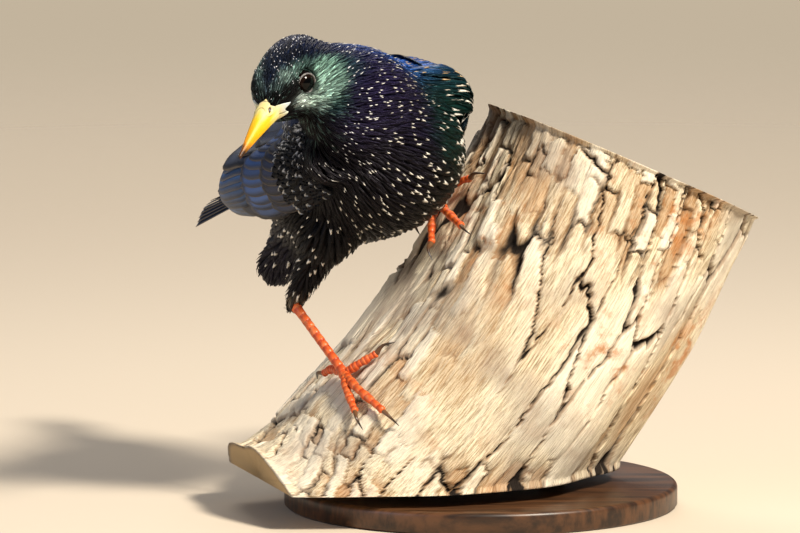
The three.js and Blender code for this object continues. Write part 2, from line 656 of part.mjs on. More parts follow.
// A claw leaves the toe's end, rises a little and curves down to a point on the wood.
function claw(side, name, grow) {
  const line = toeLine(side, name);
  const end = line.at(-1);
  const ahead = end.clone().sub(line[1]).normalize();
  const tip = ontoLimb(end.clone().addScaledVector(ahead, CLAW.length), CLAW.clear + GAP);
  const out = end.clone().sub(ontoLimb(end, 0)).normalize();
  const start = end.clone().addScaledVector(ahead, -grow);
  const arch = start.clone().lerp(tip, 0.5).addScaledVector(out, CLAW.arch);
  return tube([start, arch, tip], (t) => mix(CLAW.root, CLAW.tip, t) + grow, 5, 6);
}

// Stand: a round base with a bevelled rim and two rods sunk into the limb's level foot.
function rodShape(place, grow, bottom) {
  const top = LIMB_FOOT_Z + ROD.sink + grow;
  const rod = new THREE.CylinderGeometry(ROD.radius + grow, ROD.radius + grow, top - bottom, 20);
  return solidOf(rod.rotateX(Math.PI / 2).translate(place.x, place.y, (top + bottom) / 2));
}

function baseGeometry() {
  const { radius, height, bevel } = BASE;
  const foot = [[0, 0], [radius - bevel / 2, 0], [radius, bevel / 2]];
  const top = [[radius, height - bevel], [radius - bevel, height], [0, height]];
  const profile = [...foot, ...top].map(([x, y]) => new THREE.Vector2(x, y));
  return new THREE.LatheGeometry(profile, 48).rotateX(Math.PI / 2);
}

// Materials
function finish(color, roughness, metalness = 0) {
  return new THREE.MeshStandardMaterial({ color, roughness, metalness });
}
const PLUMAGE = finish("#15161c", 0.45, 0.2);
const FLIGHT = finish("#2b313c", 0.5, 0.1);
const BILL_HORN = finish("#e9b818", 0.4);
const LEG_SKIN = finish("#c1512a", 0.55);
const CLAW_HORN = finish("#3b3230", 0.4);
const EYE = finish("#1a0f0c", 0.08);
const OLD_WOOD = finish("#bda583", 0.85);
const STAND_WOOD = finish("#3a2c22", 0.45);
const STAND_STEEL = finish("#8b8e92", 0.3, 1);

// The vertices next to each vertex.
function neighbours(faces) {
  const around = new Map();
  for (const face of faces)
    for (const i of face) {
      if (!around.has(i)) around.set(i, new Set());
      face.forEach((j) => j !== i && around.get(i).add(j));
    }
  return around;
}

// Closes edges shorter than WELD, where that leaves the surface closed: only two faces may vanish with an edge.
// Where two sheets touch in a point, one of them is drawn back a little.
const WELD = 0.02;
function welded({ vertProperties, triVerts }) {
  const position = Float32Array.from(vertProperties);
  const place = (i) => vec(position.slice(i * 3, i * 3 + 3));
  let faces = Array.from({ length: triVerts.length / 3 }, (_, i) => [...triVerts.slice(i * 3, i * 3 + 3)]);
  for (let pass = 0; pass < 8; pass++) {
    const around = neighbours(faces);
    const joined = new Map();
    const settled = new Set();
    for (const face of faces)
      for (let k = 0; k < 3; k++) {
        const [a, b] = [face[k], face[(k + 1) % 3]];
        if (settled.has(a) || settled.has(b) || place(a).distanceTo(place(b)) > WELD) continue;
        const shared = [...around.get(a)].filter((i) => around.get(b).has(i));
        if (shared.length !== 2) continue;
        joined.set(b, a);
        [a, b].forEach((i) => around.get(i).forEach((j) => settled.add(j)));
      }
    if (joined.size === 0) break;
    faces = faces.map((face) => face.map((i) => joined.get(i) ?? i)).filter((face) => new Set(face).size === 3);
  }
  const taken = new Set();
  for (const [i, next] of neighbours(faces)) {
    const spot = place(i).toArray().map((x) => x.toFixed(3)).join();
    const middle = [...next].reduce((sum, j) => sum.add(place(j)), V(0, 0, 0)).divideScalar(next.size);
    if (taken.has(spot)) position.set(place(i).lerp(middle, 0.1).toArray(), i * 3);
    taken.add(spot);
  }
  return { position, faces: faces.flat() };
}

const model = new THREE.Group();
function add(name, shape, material) {
  const { position, faces } = welded(shape.getMesh());
  const geometry = new THREE.BufferGeometry();
  geometry.setAttribute("position", new THREE.BufferAttribute(position, 3));
  geometry.setIndex(faces);
  const mesh = new THREE.Mesh(geometry, material);
  mesh.name = name;
  model.add(mesh);
}

add("head", headSolid(), PLUMAGE);
add("neck", neckSolid(), PLUMAGE);
add("torso", torsoSolid(), PLUMAGE);
add("tail", tailSolid(), FLIGHT);
add("bill_upper", upperBill(), BILL_HORN);
add("bill_lower", billHalf(false, 0), BILL_HORN);
for (const [side, sign] of [["left", 1], ["right", -1]]) {
  add(`eye_${side}`, eyeSolid(sign), EYE);
  add(`wing_${side}`, wingSolid(sign), FLIGHT);
  add(`thigh_${side}`, thighSolid(LEGS[side]), PLUMAGE);
  add(`shank_${side}`, shankSolid(side), LEG_SKIN);
  add(`foot_${side}`, footSolid(side), LEG_SKIN);
  for (const name of Object.keys(TOES[side])) add(`claw_${side}_${name}`, claw(side, name, 0), CLAW_HORN);
}
function treadsOf(side) {
  const toes = Object.keys(TOES[side]).flatMap((name) => [toe(side, name, GAP), claw(side, name, GAP)]);
  return [...toes, ballOfFoot(side, GAP)];
}
const treads = ["left", "right"].flatMap(treadsOf);
add("perch", limbSolid(treads), OLD_WOOD);
add("stand_base", solidOf(baseGeometry()), STAND_WOOD);
RODS.forEach((rod, i) => add(`stand_rod_${i + 1}`, rodShape(rod, 0, BASE.height + GAP), STAND_STEEL));

export default model;
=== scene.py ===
# %% [markdown]
# # A starling on a dead limb
# A life-size starling clings to a short length of bare, weathered limb, turns its head to its right and
# looks down. This lesson loads the plain solids of the bird as a fixed frame and builds the looks over
# them: skin, feathers, bill, eyes, scaled legs, cracked wood and a small stand. Shapes are worked out in
# millimetres with numpy.

import math
from functools import partial

import bpy
import numpy as np
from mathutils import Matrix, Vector, kdtree


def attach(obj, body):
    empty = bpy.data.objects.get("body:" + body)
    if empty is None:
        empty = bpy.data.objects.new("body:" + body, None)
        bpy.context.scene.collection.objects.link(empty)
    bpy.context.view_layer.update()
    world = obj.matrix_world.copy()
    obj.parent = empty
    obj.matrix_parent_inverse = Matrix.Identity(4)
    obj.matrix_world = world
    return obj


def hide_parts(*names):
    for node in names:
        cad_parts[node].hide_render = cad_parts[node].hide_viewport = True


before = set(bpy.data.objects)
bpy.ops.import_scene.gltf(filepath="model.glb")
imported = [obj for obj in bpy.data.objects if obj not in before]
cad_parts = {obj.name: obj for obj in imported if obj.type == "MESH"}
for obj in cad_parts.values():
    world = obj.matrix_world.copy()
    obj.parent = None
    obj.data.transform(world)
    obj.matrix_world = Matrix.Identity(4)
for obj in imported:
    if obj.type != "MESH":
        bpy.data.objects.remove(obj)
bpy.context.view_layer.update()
MM = 0.001
random = np.random.default_rng(29)
print("nodes in the frame:", len(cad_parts))

# %% [markdown]
# ## Camera
# The picture was taken from about three metres with a long lens, a little above the bird. A real long lens
# is used here rather than a wide one up close, because it keeps the head from looking too large. The bird's
# body centre is named in the picture's own pixels, and the camera aims so that it falls there.

# %% Camera
PICTURE = (800, 533)
BODY_IN_PICTURE = (356, 163)
PIXELS_PER_MM = 3.3
CAMERA_DISTANCE = 3000
CAMERA_HEIGHT = math.radians(8)
BODY_CENTRE = np.array([-38.0, -8.0, 106.0])


def add_camera():
    """Aims along +Y and down by CAMERA_HEIGHT, with a lens whose
    pixels per mm at the bird match the picture."""
    look = np.array([0, math.cos(CAMERA_HEIGHT), -math.sin(CAMERA_HEIGHT)])
    up = np.array([0, math.sin(CAMERA_HEIGHT), math.cos(CAMERA_HEIGHT)])
    across = (PICTURE[0] / 2 - BODY_IN_PICTURE[0]) / PIXELS_PER_MM
    below = (PICTURE[1] / 2 - BODY_IN_PICTURE[1]) / PIXELS_PER_MM
    aim = BODY_CENTRE + across * np.array([1, 0, 0]) - below * up
    data = bpy.data.cameras.new("camera")
    data.sensor_width = 36
    data.lens = CAMERA_DISTANCE * PIXELS_PER_MM * data.sensor_width / PICTURE[0]
    data.clip_end = 100
    camera = bpy.data.objects.new("camera", data)
    camera.location = (aim - look * CAMERA_DISTANCE) * MM
    camera.rotation_euler = (math.pi / 2 - CAMERA_HEIGHT, 0, 0)
    bpy.context.scene.collection.objects.link(camera)
    bpy.context.scene.camera = camera
    return camera


camera = add_camera()
print("lens in mm:", round(camera.data.lens))

# %% [markdown]
# ## The bird's own frames
# A body part is easiest to shape in its own directions: forward, to its left and up its back. Each frame is
# a centre and these three directions, worked out from how far the part is turned, raised and rolled.


# %% Frames of the body, head and tail
def body_frame(centre, yaw, pitch, roll):
    """Forward looks along -Y at yaw 0 and turns towards +X. Pitch raises it, and roll lifts the left side."""
    y, p, r = np.radians([yaw, pitch, roll])
    forward = np.array([math.sin(y) * math.cos(p), -math.cos(y) * math.cos(p), math.sin(p)])
    level = np.array([math.cos(y), math.sin(y), 0])
    back = np.cross(forward, level)
    left = level * math.cos(r) + back * math.sin(r)
    up = back * math.cos(r) - level * math.sin(r)
    return {"centre": np.array(centre, float), "axes": np.array([forward, left, up])}


def stacked(*rows):
    """Numbers or arrays spread to one shape and stacked along a last axis."""
    return np.stack(np.broadcast_arrays(*rows), -1)


def lengths(v):
    """The length of each vector, kept as a last axis of one."""
    return np.linalg.norm(v, axis=-1, keepdims=True)


def full_turn(count):
    """Angles at even steps round a circle, in radians."""
    return np.linspace(0, 2 * np.pi, count, endpoint=False)


def at(part, x, y, z):
    """The place x mm forward, y to the left and z up in a part's frame, for numbers or whole arrays."""
    return part["centre"] + stacked(x, y, z) @ part["axes"]


def within(part, places):
    """The reverse of at: how far forward, left and up of a part's centre each place is."""
    return (places - part["centre"]) @ part["axes"].T


SIDES = {1: "left", -1: "right"}
TORSO = body_frame(BODY_CENTRE, 26, 15, 15)
HEAD = body_frame([-57.8, -44, 136], -28, -30, 0)
FACE = at(HEAD, 8, 0, -1)
TAIL = body_frame(at(TORSO, -51, 0, 4), 20, 15.5, 15)
ANKLES = {"right": np.array([-57.0, -11, 63.5]), "left": at(TORSO, -43, 24.5, -10)}
KNEES = {"right": at(TORSO, 2, -18, -17), "left": at(TORSO, 2, 18, -6)}
HIPS = {"right": at(TORSO, -4, -13, -9), "left": at(TORSO, -6, 13, -9)}
FLANK = np.array([-62.5, 12, 71.5])
BALLS = {"right": np.array([-41.5, -28, 44.5]), "left": np.array([-15.6, 4, 94.8])}
print("head centre to body centre in mm:", round(float(np.linalg.norm(HEAD["centre"] - TORSO["centre"]))))

# %% [markdown]
# ## The outline of the bird as a distance
# The bird's outline, with its feathers on, is a few eggs and round-ended cones melted into one another.
# Each is a formula that tells how far a place is from its surface, negative inside. Two are melted by
# taking the smaller distance and easing the crease between them. The plain solids of the frame are made of
# the same eggs and cones.


# %% Distance formulas
def eased(x, low, high):
    """0 below low, 1 above high, and t t (3 - 2 t) between."""
    t = np.clip((x - low) / (high - low), 0, 1)
    return t * t * (3 - 2 * t)


def egg(p, part, offset, radii):
    """Distance to an egg: k0 (k0 - 1) / k1, with k0 and k1 the
    lengths of the place over the radii, once and twice."""
    local = within(part, p) - offset
    radii = np.array(radii, float)
    k0 = np.linalg.norm(local / radii, axis=-1)
    k1 = np.linalg.norm(local / radii**2, axis=-1)
    return k0 * (k0 - 1) / np.maximum(k1, 1e-9)


def cone(p, a, ra, b, rb):
    """Distance to the hull of two balls: across the axis, measured at right angles to the slanting side."""
    axis = b - a
    length = np.linalg.norm(axis)
    along = (p - a) @ axis / length
    across = np.sqrt(np.maximum(np.sum((p - a) ** 2, -1) - along**2, 0))
    sine = (ra - rb) / length
    cosine = math.sqrt(1 - sine**2)
    start = along * cosine - across * sine
    side = across * cosine + along * sine - ra
    near = np.hypot(along, across) - ra
    far = np.hypot(along - length, across) - rb
    return np.where(start < 0, near, np.where(start > length * cosine, far, side))


def melt(a, b, k):
    """The smaller distance, less (k - |a - b|)^2 / 4k where the two are closer than k."""
    h = np.maximum(k - np.abs(a - b), 0) / k
    return np.minimum(a, b) - h * h * k / 4


def outline(p):
    """Distance of a place from the bird's outline with its feathers on."""
    d = egg(p, TORSO, (12, 1, -1), (31, 26.5, 24))
    d = melt(d, egg(p, TORSO, (6, 9, 12), (21, 18, 16.5)), 6)
    d = melt(d, egg(p, TORSO, (-12, 0, -1), (33, 22.5, 21.5)), 10)
    d = melt(d, cone(p, at(TORSO, -26, 0, 3), 16, at(TORSO, -53, 0, 4), 6.5), 8)
    d = melt(d, cone(p, at(TORSO, 20, 0, 9), 21, at(TORSO, 33, -9, 17), 16), 9)
    d = melt(d, cone(p, at(TORSO, 33, -9, 17), 15, at(HEAD, -8, 0, -1.5), 9.3), 8)
    d = melt(d, egg(p, HEAD, (0, 0, 0.4), (14.2, 9.8, 10.4)), 5)
    d = melt(d, cone(p, at(HEAD, 5.5, 0, -0.4), 8, at(HEAD, 11.5, 0, -0.8), 5.2), 4)
    d = melt(d, cone(p, HIPS["right"], 13, KNEES["right"], 8.5), 7)
    d = melt(d, cone(p, KNEES["right"], 8, ANKLES["right"], 3.4), 5)
    d = melt(d, cone(p, HIPS["right"], 11, FLANK, 6.5), 8)
    d = melt(d, cone(p, HIPS["left"], 11, KNEES["left"], 6.5), 5)
    return melt(d, cone(p, KNEES["left"], 5, ANKLES["left"], 3.2), 3)


def from_face(p):
    """Distance of a place from the middle of the face. The coat's sizes and colours change with it."""
    return np.linalg.norm(p - FACE, axis=-1)


def coat_depth(p):
    """How far the skin lies under the outline: thin on the face, and thicker over the body."""
    return np.interp(from_face(p), [6, 16, 34, 60], [0.4, 0.8, 1.5, 2.0])


EYE_FORWARD, EYE_OUT, EYE_UP, EYE_RADIUS = 3.4, 6.6, 2.1, 3.6
FAR_EYE_DEEPER = 0.5
SOCKET_RADIUS = 3.9


def skin_distance(p):
    """Distance of a place from the skin: the outline, drawn in by
    the coat's depth, less a round socket an eye."""
    d = outline(p) + coat_depth(p)
    for side in SIDES:
        d = np.maximum(d, SOCKET_RADIUS - np.linalg.norm(p - eye_centre(side), axis=-1))
    return d


def eye_centre(side):
    """Centre of the eyeball. The far eye is held a little further in, where the head turns away."""
    return at(HEAD, EYE_FORWARD, EYE_OUT if side > 0 else FAR_EYE_DEEPER - EYE_OUT, EYE_UP)


def slope(distance, p):
    """Which way a distance grows fastest, from differences over a
    twentieth of a millimetre, as unit length."""
    step = 0.05
    d = distance(p)
    change = [distance(p + step * np.eye(3)[axis]) - d for axis in range(3)]
    g = np.stack(change, -1) / step
    return g / np.maximum(lengths(g), 1e-6), d


def settle(distance, p, passes=3):
    """Moves places onto the surface where a distance is zero, and
    gives the surface's outward direction there."""
    for _ in range(passes):
        n, d = slope(distance, p)
        p = p - n * np.clip(d, -2, 2)[..., None]
    return p, slope(distance, p)[0]


print("outline at the body's centre in mm:", round(float(outline(BODY_CENTRE)), 1))

# %% [markdown]
# ## From numbers to meshes
# Blender takes whole arrays through foreach_set, which is far quicker than adding points one by one. One
# helper makes every mesh of this lesson from an array of places in mm and an array of four-cornered faces.


# %% Mesh helpers
def mesh_piece(name, places, faces, material, uv=None, colours=None, values=None, bake=None):
    """A mesh object at the origin, from places (n, 3) in mm and faces (m, 4). The rest is per place."""
    mesh = bpy.data.meshes.new(name)
    faces = np.asarray(faces, np.int32)
    mesh.vertices.add(len(places))
    mesh.vertices.foreach_set("co", (np.asarray(places) * MM).astype(np.float32).ravel())
    mesh.loops.add(faces.size)
    mesh.loops.foreach_set("vertex_index", faces.ravel())
    mesh.polygons.add(len(faces))
    mesh.polygons.foreach_set("loop_start", np.arange(0, faces.size, faces.shape[1], dtype=np.int32))
    mesh.update(calc_edges=True)
    for title, coords in (("OFBake", bake), ("lay", uv)):
        if coords is not None:
            layer = mesh.uv_layers.new(name=title)
            layer.data.foreach_set("uv", coords[faces.ravel()].astype(np.float32).ravel())
    for title, rgb in (colours or {}).items():
        layer = mesh.attributes.new(title, "FLOAT_COLOR", "POINT")
        layer.data.foreach_set("color", np.hstack([rgb, np.ones((len(rgb), 1))]).astype(np.float32).ravel())
    for title, value in (values or {}).items():
        layer = mesh.attributes.new(title, "FLOAT", "POINT")
        layer.data.foreach_set("value", value.astype(np.float32))
    mesh.polygons.foreach_set("use_smooth", np.ones(len(faces), bool))
    mesh.materials.append(material)
    piece = bpy.data.objects.new(name, mesh)
    bpy.context.scene.collection.objects.link(piece)
    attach(piece, "root")
    return piece


def tube_faces(rings, sides):
    """Faces of a closed tube of rings of places, in ring order, with a row of faces across each end."""
    i, j = np.indices((rings - 1, sides))
    a, b = i * sides + j, i * sides + (j + 1) % sides
    walls = np.stack([a, b, b + sides, a + sides], -1).reshape(-1, 4)
    k = np.arange(sides // 2 - 1)
    start = np.stack([k, sides - 1 - k, sides - 2 - k, k + 1], -1)
    end = start[:, ::-1] + (rings - 1) * sides
    return np.vstack([walls, start, end])


def outward(places, faces):
    """Turns faces round if the closed surface they make has a negative volume."""
    a, b, c, d = (places[faces[:, k]] for k in range(4))
    volume = np.sum(np.cross(b, c) * a) + np.sum(np.cross(c, d) * a)
    return faces if volume > 0 else faces[:, ::-1]


def closed(rings):
    """Places and outward faces of a closed tube, from its rings of places (rings, sides, 3)."""
    places = rings.reshape(-1, 3)
    return places, outward(places, tube_faces(*rings.shape[:2]))


def joined(parts):
    """Several (places, faces) pairs as one."""
    starts = np.cumsum([0] + [len(places) for places, _ in parts])
    places = np.vstack([places for places, _ in parts])
    faces = np.vstack([faces + start for (_, faces), start in zip(parts, starts)])
    return places, faces


def copies(places, faces):
    """Faces of many like pieces, whose places are an array (pieces, places of one, 3)."""
    count, size = places.shape[:2]
    return (faces[None] + np.arange(count)[:, None, None] * size).reshape(-1, faces.shape[1])


# %% [markdown]
# ## Materials
# Each finish is named for what the real one is. Colours are written as sRGB hex, as a paint chart gives
# them, and turned to the linear light that the renderer works in. One helper adds any node. A table tells
# it, for each short name, which node that is, how it is set, which inputs its values go to and which output
# is wanted.

# %% Colour and node helpers
NODES = {
    "map": ("UVMap", {"uv_map": "lay"}, (), 0),
    "object": ("TexCoord", {}, (), "Object"),
    "colour": ("Attribute", {}, (), "Color"),
    "mark": ("Attribute", {}, (), "Fac"),
    "x": ("SeparateXYZ", {}, (0,), 0),
    "y": ("SeparateXYZ", {}, (0,), 1),
    "size": ("Math", {"operation": "ABSOLUTE"}, (0,), 0),
    "sine": ("Math", {"operation": "SINE"}, (0,), 0),
    "less": ("Math", {"operation": "SUBTRACT"}, (0, 1), 0),
    "times": ("Math", {"operation": "MULTIPLY"}, (0, 1), 0),
    "larger": ("Math", {"operation": "MAXIMUM"}, (0, 1), 0),
    "line": ("Math", {"operation": "MULTIPLY_ADD"}, (0, 1, 2), 0),
    "length": ("VectorMath", {"operation": "LENGTH"}, (0,), "Value"),
    "grey": ("RGBToBW", {}, (0,), 0),
    "step": ("MapRange", {"interpolation_type": "SMOOTHSTEP"}, (0, 1, 2, 3, 4), 0),
    "mix": ("Mix", {"data_type": "RGBA"}, (0, 6, 7), 2),
    "bar": ("ValToRGB", {}, (0,), 0),
    "stretch": ("Mapping", {}, ("Vector", "Scale"), 0),
    "noise": ("TexNoise", {}, ("Vector", "Scale", "Detail", "Roughness"), 0),
    "cells": ("TexVoronoi", {}, ("Vector", "Scale"), 0),
    "bump": ("Bump", {}, ("Strength", "Distance", "Height"), 0),
    "clear": ("BsdfTransparent", {}, (), 0),
    "fade": ("MixShader", {}, (0, 1, 2), 0),
    "seen": ("LightPath", {}, (), "Is Camera Ray"),
}


def linear(hex_colour):
    """sRGB hex to linear: c / 12.92 when dark, otherwise ((c + 0.055) / 1.055) to the power 2.4."""
    c = np.array([int(hex_colour[i : i + 2], 16) / 255 for i in (1, 3, 5)])
    return np.where(c <= 0.04045, c / 12.92, ((c + 0.055) / 1.055) ** 2.4)


def fill(node, inputs):
    """Links or sets a node's inputs. A value in quotes is an sRGB colour."""
    for socket, value in inputs.items():
        if isinstance(value, bpy.types.NodeSocket):
            node.id_data.links.new(value, node.inputs[socket])
        else:
            node.inputs[socket].default_value = (*linear(value), 1.0) if isinstance(value, str) else value


def add_node(tree, name, *values, **settings):
    """Adds the node of that short name, sets it, fills its inputs
    in the table's order, and gives its output."""
    kind, usual, sockets, output = NODES[name]
    node = tree.nodes.new("ShaderNode" + kind)
    for setting, value in {**usual, **settings}.items():
        setattr(node, setting, value)
    fill(node, dict(zip(sockets, values)))
    return node.outputs[output]


def new_finish(name):
    """A material with an empty tree but for its output and main
    shader, and a function that adds nodes to it."""
    finish = bpy.data.materials.new(name)
    finish.use_nodes = True
    return finish, partial(add_node, finish.node_tree)


def surfaced(finish, inputs):
    """Fills the inputs of a finish's main shader, and gives the finish."""
    fill(finish.node_tree.nodes["Principled BSDF"], inputs)
    return finish


def vane_map(add):
    """The map from root to tip, how far from its middle line each point lies, and how far along it."""
    lay = add("map")
    return lay, add("size", add("less", add("x", lay), 0.5)), add("y", lay)


def barbs_on(add, along, across, count, slant):
    """A wave from 0 to 1 over slanting lines, count of them from root to tip."""
    phase = add("less", add("times", along, count), add("times", across, slant))
    return add("line", add("sine", add("times", phase, 6.283)), 0.5, 0.5)


# %% [markdown]
# ### Plumage
# A starling's feathers are black, but the keratin over the pigment splits the light, so their shine is
# purple, green or blue by region. The shine comes from a layer, so it behaves like a tinted metal more than
# like paint: the colour sits in the highlight. Each vane carries its shine and the size of its pale tip as
# attributes, and its own map from root to tip, on which the barbs are drawn. Real barbs are 0.05 mm apart,
# too fine to show, so these are drawn a tenth to half a millimetre apart.


# %% Plumage finish
def plumage_finish():
    """Barbed vanes: shine colour from the attribute shine, and a pale tip of the size that pale gives."""
    finish, add = new_finish("iridescent plumage")
    shine = add("colour", attribute_name="shine")
    pale = add("mark", attribute_name="pale")
    _, across, along = vane_map(add)
    barb = barbs_on(add, along, across, 14, 7.7)
    start = add("less", 1.0, add("times", pale, 0.42))
    notch = add("line", add("less", 0.25, across), -0.1, along)
    tip = add("step", add("less", notch, start), -0.03, 0.05)
    tip = add("times", tip, add("step", pale, 0.02, 0.08))
    dark = add("mix", add("times", barb, 0.5), shine, "#050507")
    shaft = add("step", across, 0.02, 0.06, 1.0, 0.0)
    dark = add("mix", add("times", shaft, 0.5), dark, "#0a0a0e")
    gloss = add("step", add("grey", shine), 0.2, 0.6, 0.55, 0.1)
    return surfaced(finish, {
        "Base Color": add("mix", tip, dark, add("colour", attribute_name="tip")),
        "Metallic": add("times", add("less", 1.0, tip), gloss),
        "Roughness": add("line", barb, 0.15, 0.3),
        "Specular IOR Level": 0.3,
        "Normal": add("bump", 0.5, 0.00012, barb),
    })


def down_finish():
    """Dull, dark down over the skin, which takes a little of the shine above it."""
    finish, add = new_finish("dark down over skin")
    colour = add("mix", 0.9, add("colour", attribute_name="shine"), "#040406")
    return surfaced(finish, {"Base Color": colour, "Roughness": 0.8, "Specular IOR Level": 0.08})


PLUMAGE, BARE_SKIN = plumage_finish(), down_finish()
print("plumage nodes:", len(PLUMAGE.node_tree.nodes))

# %% [markdown]
# ## Skin
# One closed skin takes the place of the head, neck, body and thigh solids, so no joint shows between them.
# It is meshed from the distance formula: space is cut into small cells, each cell that the surface passes
# through gets one point, and points of neighbouring cells are joined. This works for any shape that a
# distance describes, where a grid wrapped round an axis would fold at the thighs.


# %% Skin mesh
def wrapped(distance, low, high, step):
    """Closed mesh where a distance is zero: a point per crossed cell, at the mean of its edges' crossings."""
    axes = [np.arange(a, b + step, step) for a, b in zip(low, high)]
    value = distance(np.stack(np.meshgrid(*axes, indexing="ij"), -1))
    inside = value < 0
    cells = tuple(n - 1 for n in value.shape)
    total = np.zeros(cells + (3,))
    count = np.zeros(cells)
    for axis in range(3):
        first, second = np.delete(value, -1, axis), np.delete(value, 0, axis)
        crossed = (first < 0) != (second < 0)
        share = np.where(crossed, first / np.where(crossed, first - second, 1), 0)
        b, c = (axis + 1) % 3, (axis + 2) % 3
        for ob in (0, 1):
            for oc in (0, 1):
                cut = [slice(0, n) for n in cells]
                cut[b] = slice(ob, ob + cells[b])
                cut[c] = slice(oc, oc + cells[c])
                hit = crossed[tuple(cut)]
                total[..., axis] += share[tuple(cut)]
                total[..., b] += hit * ob
                total[..., c] += hit * oc
                count += hit
    used = count > 0
    number = np.full(cells, -1)
    number[used] = np.arange(used.sum())
    corner = np.argwhere(used)
    places = np.array([axes[k][corner[:, k]] for k in range(3)]).T + total[used] / count[used][:, None] * step
    faces = []
    for axis in range(3):
        b, c = (axis + 1) % 3, (axis + 2) % 3
        crossed = np.delete(inside, -1, axis) != np.delete(inside, 0, axis)
        i = np.argwhere(crossed)
        i = i[(i[:, b] > 0) & (i[:, c] > 0) & (i[:, b] < cells[b]) & (i[:, c] < cells[c])]
        quad = []
        for ob, oc in ((0, 0), (1, 0), (1, 1), (0, 1)):
            k = i.copy()
            k[:, b] -= ob
            k[:, c] -= oc
            quad.append(number[k[:, 0], k[:, 1], k[:, 2]])
        quad = np.stack(quad, -1)
        out = inside[i[:, 0], i[:, 1], i[:, 2]]
        faces.append(np.where(out[:, None], quad, quad[:, ::-1]))
    return settle(distance, places, 2)[0], np.vstack(faces)


SKIN_STEP = 1.6
SKIN_LOW, SKIN_HIGH = (-90, -72, 44), (0, 48, 160)
skin_places, skin_faces = wrapped(skin_distance, SKIN_LOW, SKIN_HIGH, SKIN_STEP)
print("skin faces:", len(skin_faces))

# %% [markdown]
# ## Shine and pale tips over the body
# The shine changes over the bird: navy on the crown, silvery green on the cheek, purple down the side of
# the neck, green and blue on the breast, near black below, and bright blue on the back. The near-white of
# the cheek behind and below the eye and the pale line above the lores are painted highlight over a real
# green gloss. Each region is a soft patch round a place that is named in the head's or the body's own
# directions, and every skin point and feather root takes the mean of the patches near it.

# %% Markings
WORLD = {"centre": np.zeros(3), "axes": np.eye(3)}
# Each patch: its place, its size in mm, its colour and its strength. Face patches are mirrored.
FACE_PATCHES = [
    # Pale green line above the lores: painted highlight over the real green gloss.
    ((12.5, 2.6, 5.2), 1.5, "#6a8482", 2.0),
    ((9.2, 4.6, 7.1), 1.6, "#8aa8a0", 2.0),
    ((5.5, 6.6, 7.0), 1.5, "#7da398", 2.0),
    ((2.0, 7.8, 6.4), 1.5, "#648a82", 1.6),
    ((12.5, 0.0, 7.5), 2.2, "#0c1730", 2.0),
    ((14.0, 3.2, 2.9), 1.4, "#010102", 6.0),
    ((12.0, 4.8, 3.4), 1.5, "#010102", 6.0),
    ((9.4, 6.6, 3.3), 1.6, "#010102", 6.0),
    ((7.6, 7.6, 2.2), 1.4, "#010102", 5.0),
    # Near-white cheek behind and below the eye: painted highlight over the real green gloss.
    ((8.6, 8.4, -0.9), 1.8, "#d4e6e0", 3.5),
    ((5.8, 10.2, -1.8), 2.4, "#cceade", 4.0),
    ((3.8, 12.8, -1.0), 2.5, "#bce8d8", 3.5),
    ((1.0, 13.6, 1.4), 2.5, "#aee0cc", 3.0),
    ((1.0, 11.4, 0.4), 2.2, "#b4e2d0", 3.0),
    ((-1.0, 12.4, 3.8), 2.3, "#98ccb8", 2.2),
    ((4.0, 15.4, -4.4), 2.8, "#2e5f58", 1.2),
    ((-3.0, 16.0, 1.0), 3.2, "#234a58", 1.0),
    ((11.5, 4.5, -5.5), 3.0, "#08070b", 2.5),
    ((5.0, 8.0, -8.0), 4.0, "#0a080d", 1.5),
]
BODY_PATCHES = [
    (HEAD, (2, 0, 11), 7, "#0a1730", 1.5),
    (HEAD, (-8, 0, 10), 7, "#101c44", 1.2),
    (HEAD, (6, -3, 10), 5, "#091a30", 1.5),
    (HEAD, (7, 10, -11), 6, "#0d0a12", 1.0),
    (TORSO, (46, -20, 14), 7, "#241c40", 1.0),
    (TORSO, (44, -8, 22), 8, "#2a2350", 1.0),
    (TORSO, (48, -6, 10), 8, "#221c3c", 1.0),
    (TORSO, (38, 16, 20), 8, "#0f3a40", 1.0),
    (TORSO, (39, 14, 6), 8, "#0e3a34", 1.0),
    (TORSO, (30, 22, -2), 8, "#0d2c26", 1.0),
    (TORSO, (41, -13, -1), 9, "#130e1a", 1.0),
    (TORSO, (27, -18, -13), 10, "#100c14", 1.0),
    (TORSO, (11, -20, -21), 12, "#0c0a0f", 1.0),
    (TORSO, (20, 10, -22), 12, "#0b1210", 1.0),
    (TORSO, (-26, -25, -16), 12, "#171327", 1.0),
    (TORSO, (40, 0, 33), 6, "#1d4b9c", 1.0),
    (TORSO, (26, 4, 32), 9, "#2c70dc", 1.4),
    (TORSO, (10, 0, 28), 10, "#2158b0", 1.0),
    (TORSO, (-12, 0, 22), 12, "#1b4d8c", 1.0),
    (TORSO, (-40, 0, 12), 12, "#1e4a6a", 1.0),
    (WORLD, ANKLES["right"], 5, "#a69a86", 1.5),
]


def shine_at(p):
    """Mean colour of the patches, weighted by strength times exp(-(distance / size)^2), in linear light."""
    weights = np.full(p.shape[:-1], 0.03)
    total = weights[..., None] * linear("#0c0b12")
    mirrored = [(HEAD, (x, side * y, z), *rest) for (x, y, z), *rest in FACE_PATCHES for side in SIDES]
    for part, place, size, colour, strength in mirrored + BODY_PATCHES:
        far = np.linalg.norm(p - at(part, *place), axis=-1) / size
        w = strength * np.exp(-(far**2))
        total = total + w[..., None] * linear(colour)
        weights = weights + w
    return total / weights[..., None]


def shoulder_at(p):
    """1 on the left shoulder, the side that the picture shows, and 0 away from it."""
    local = within(TORSO, p)
    return eased(local[..., 1], 8, 20) * eased(local[..., 2], -12, 2)


def pale_at(p):
    """How large a pale tip is, from 0 to 1: tiny on the head,
    small on the neck, large on breast and shoulder."""
    low = eased(-within(TORSO, p)[..., 0], 5, 30)
    size = np.interp(from_face(p), [5, 9, 18, 30, 45, 70], [0.25, 0.36, 0.38, 0.32, 0.4, 0.5])
    return (size + 0.65 * shoulder_at(p)) * (1 - 0.5 * low)


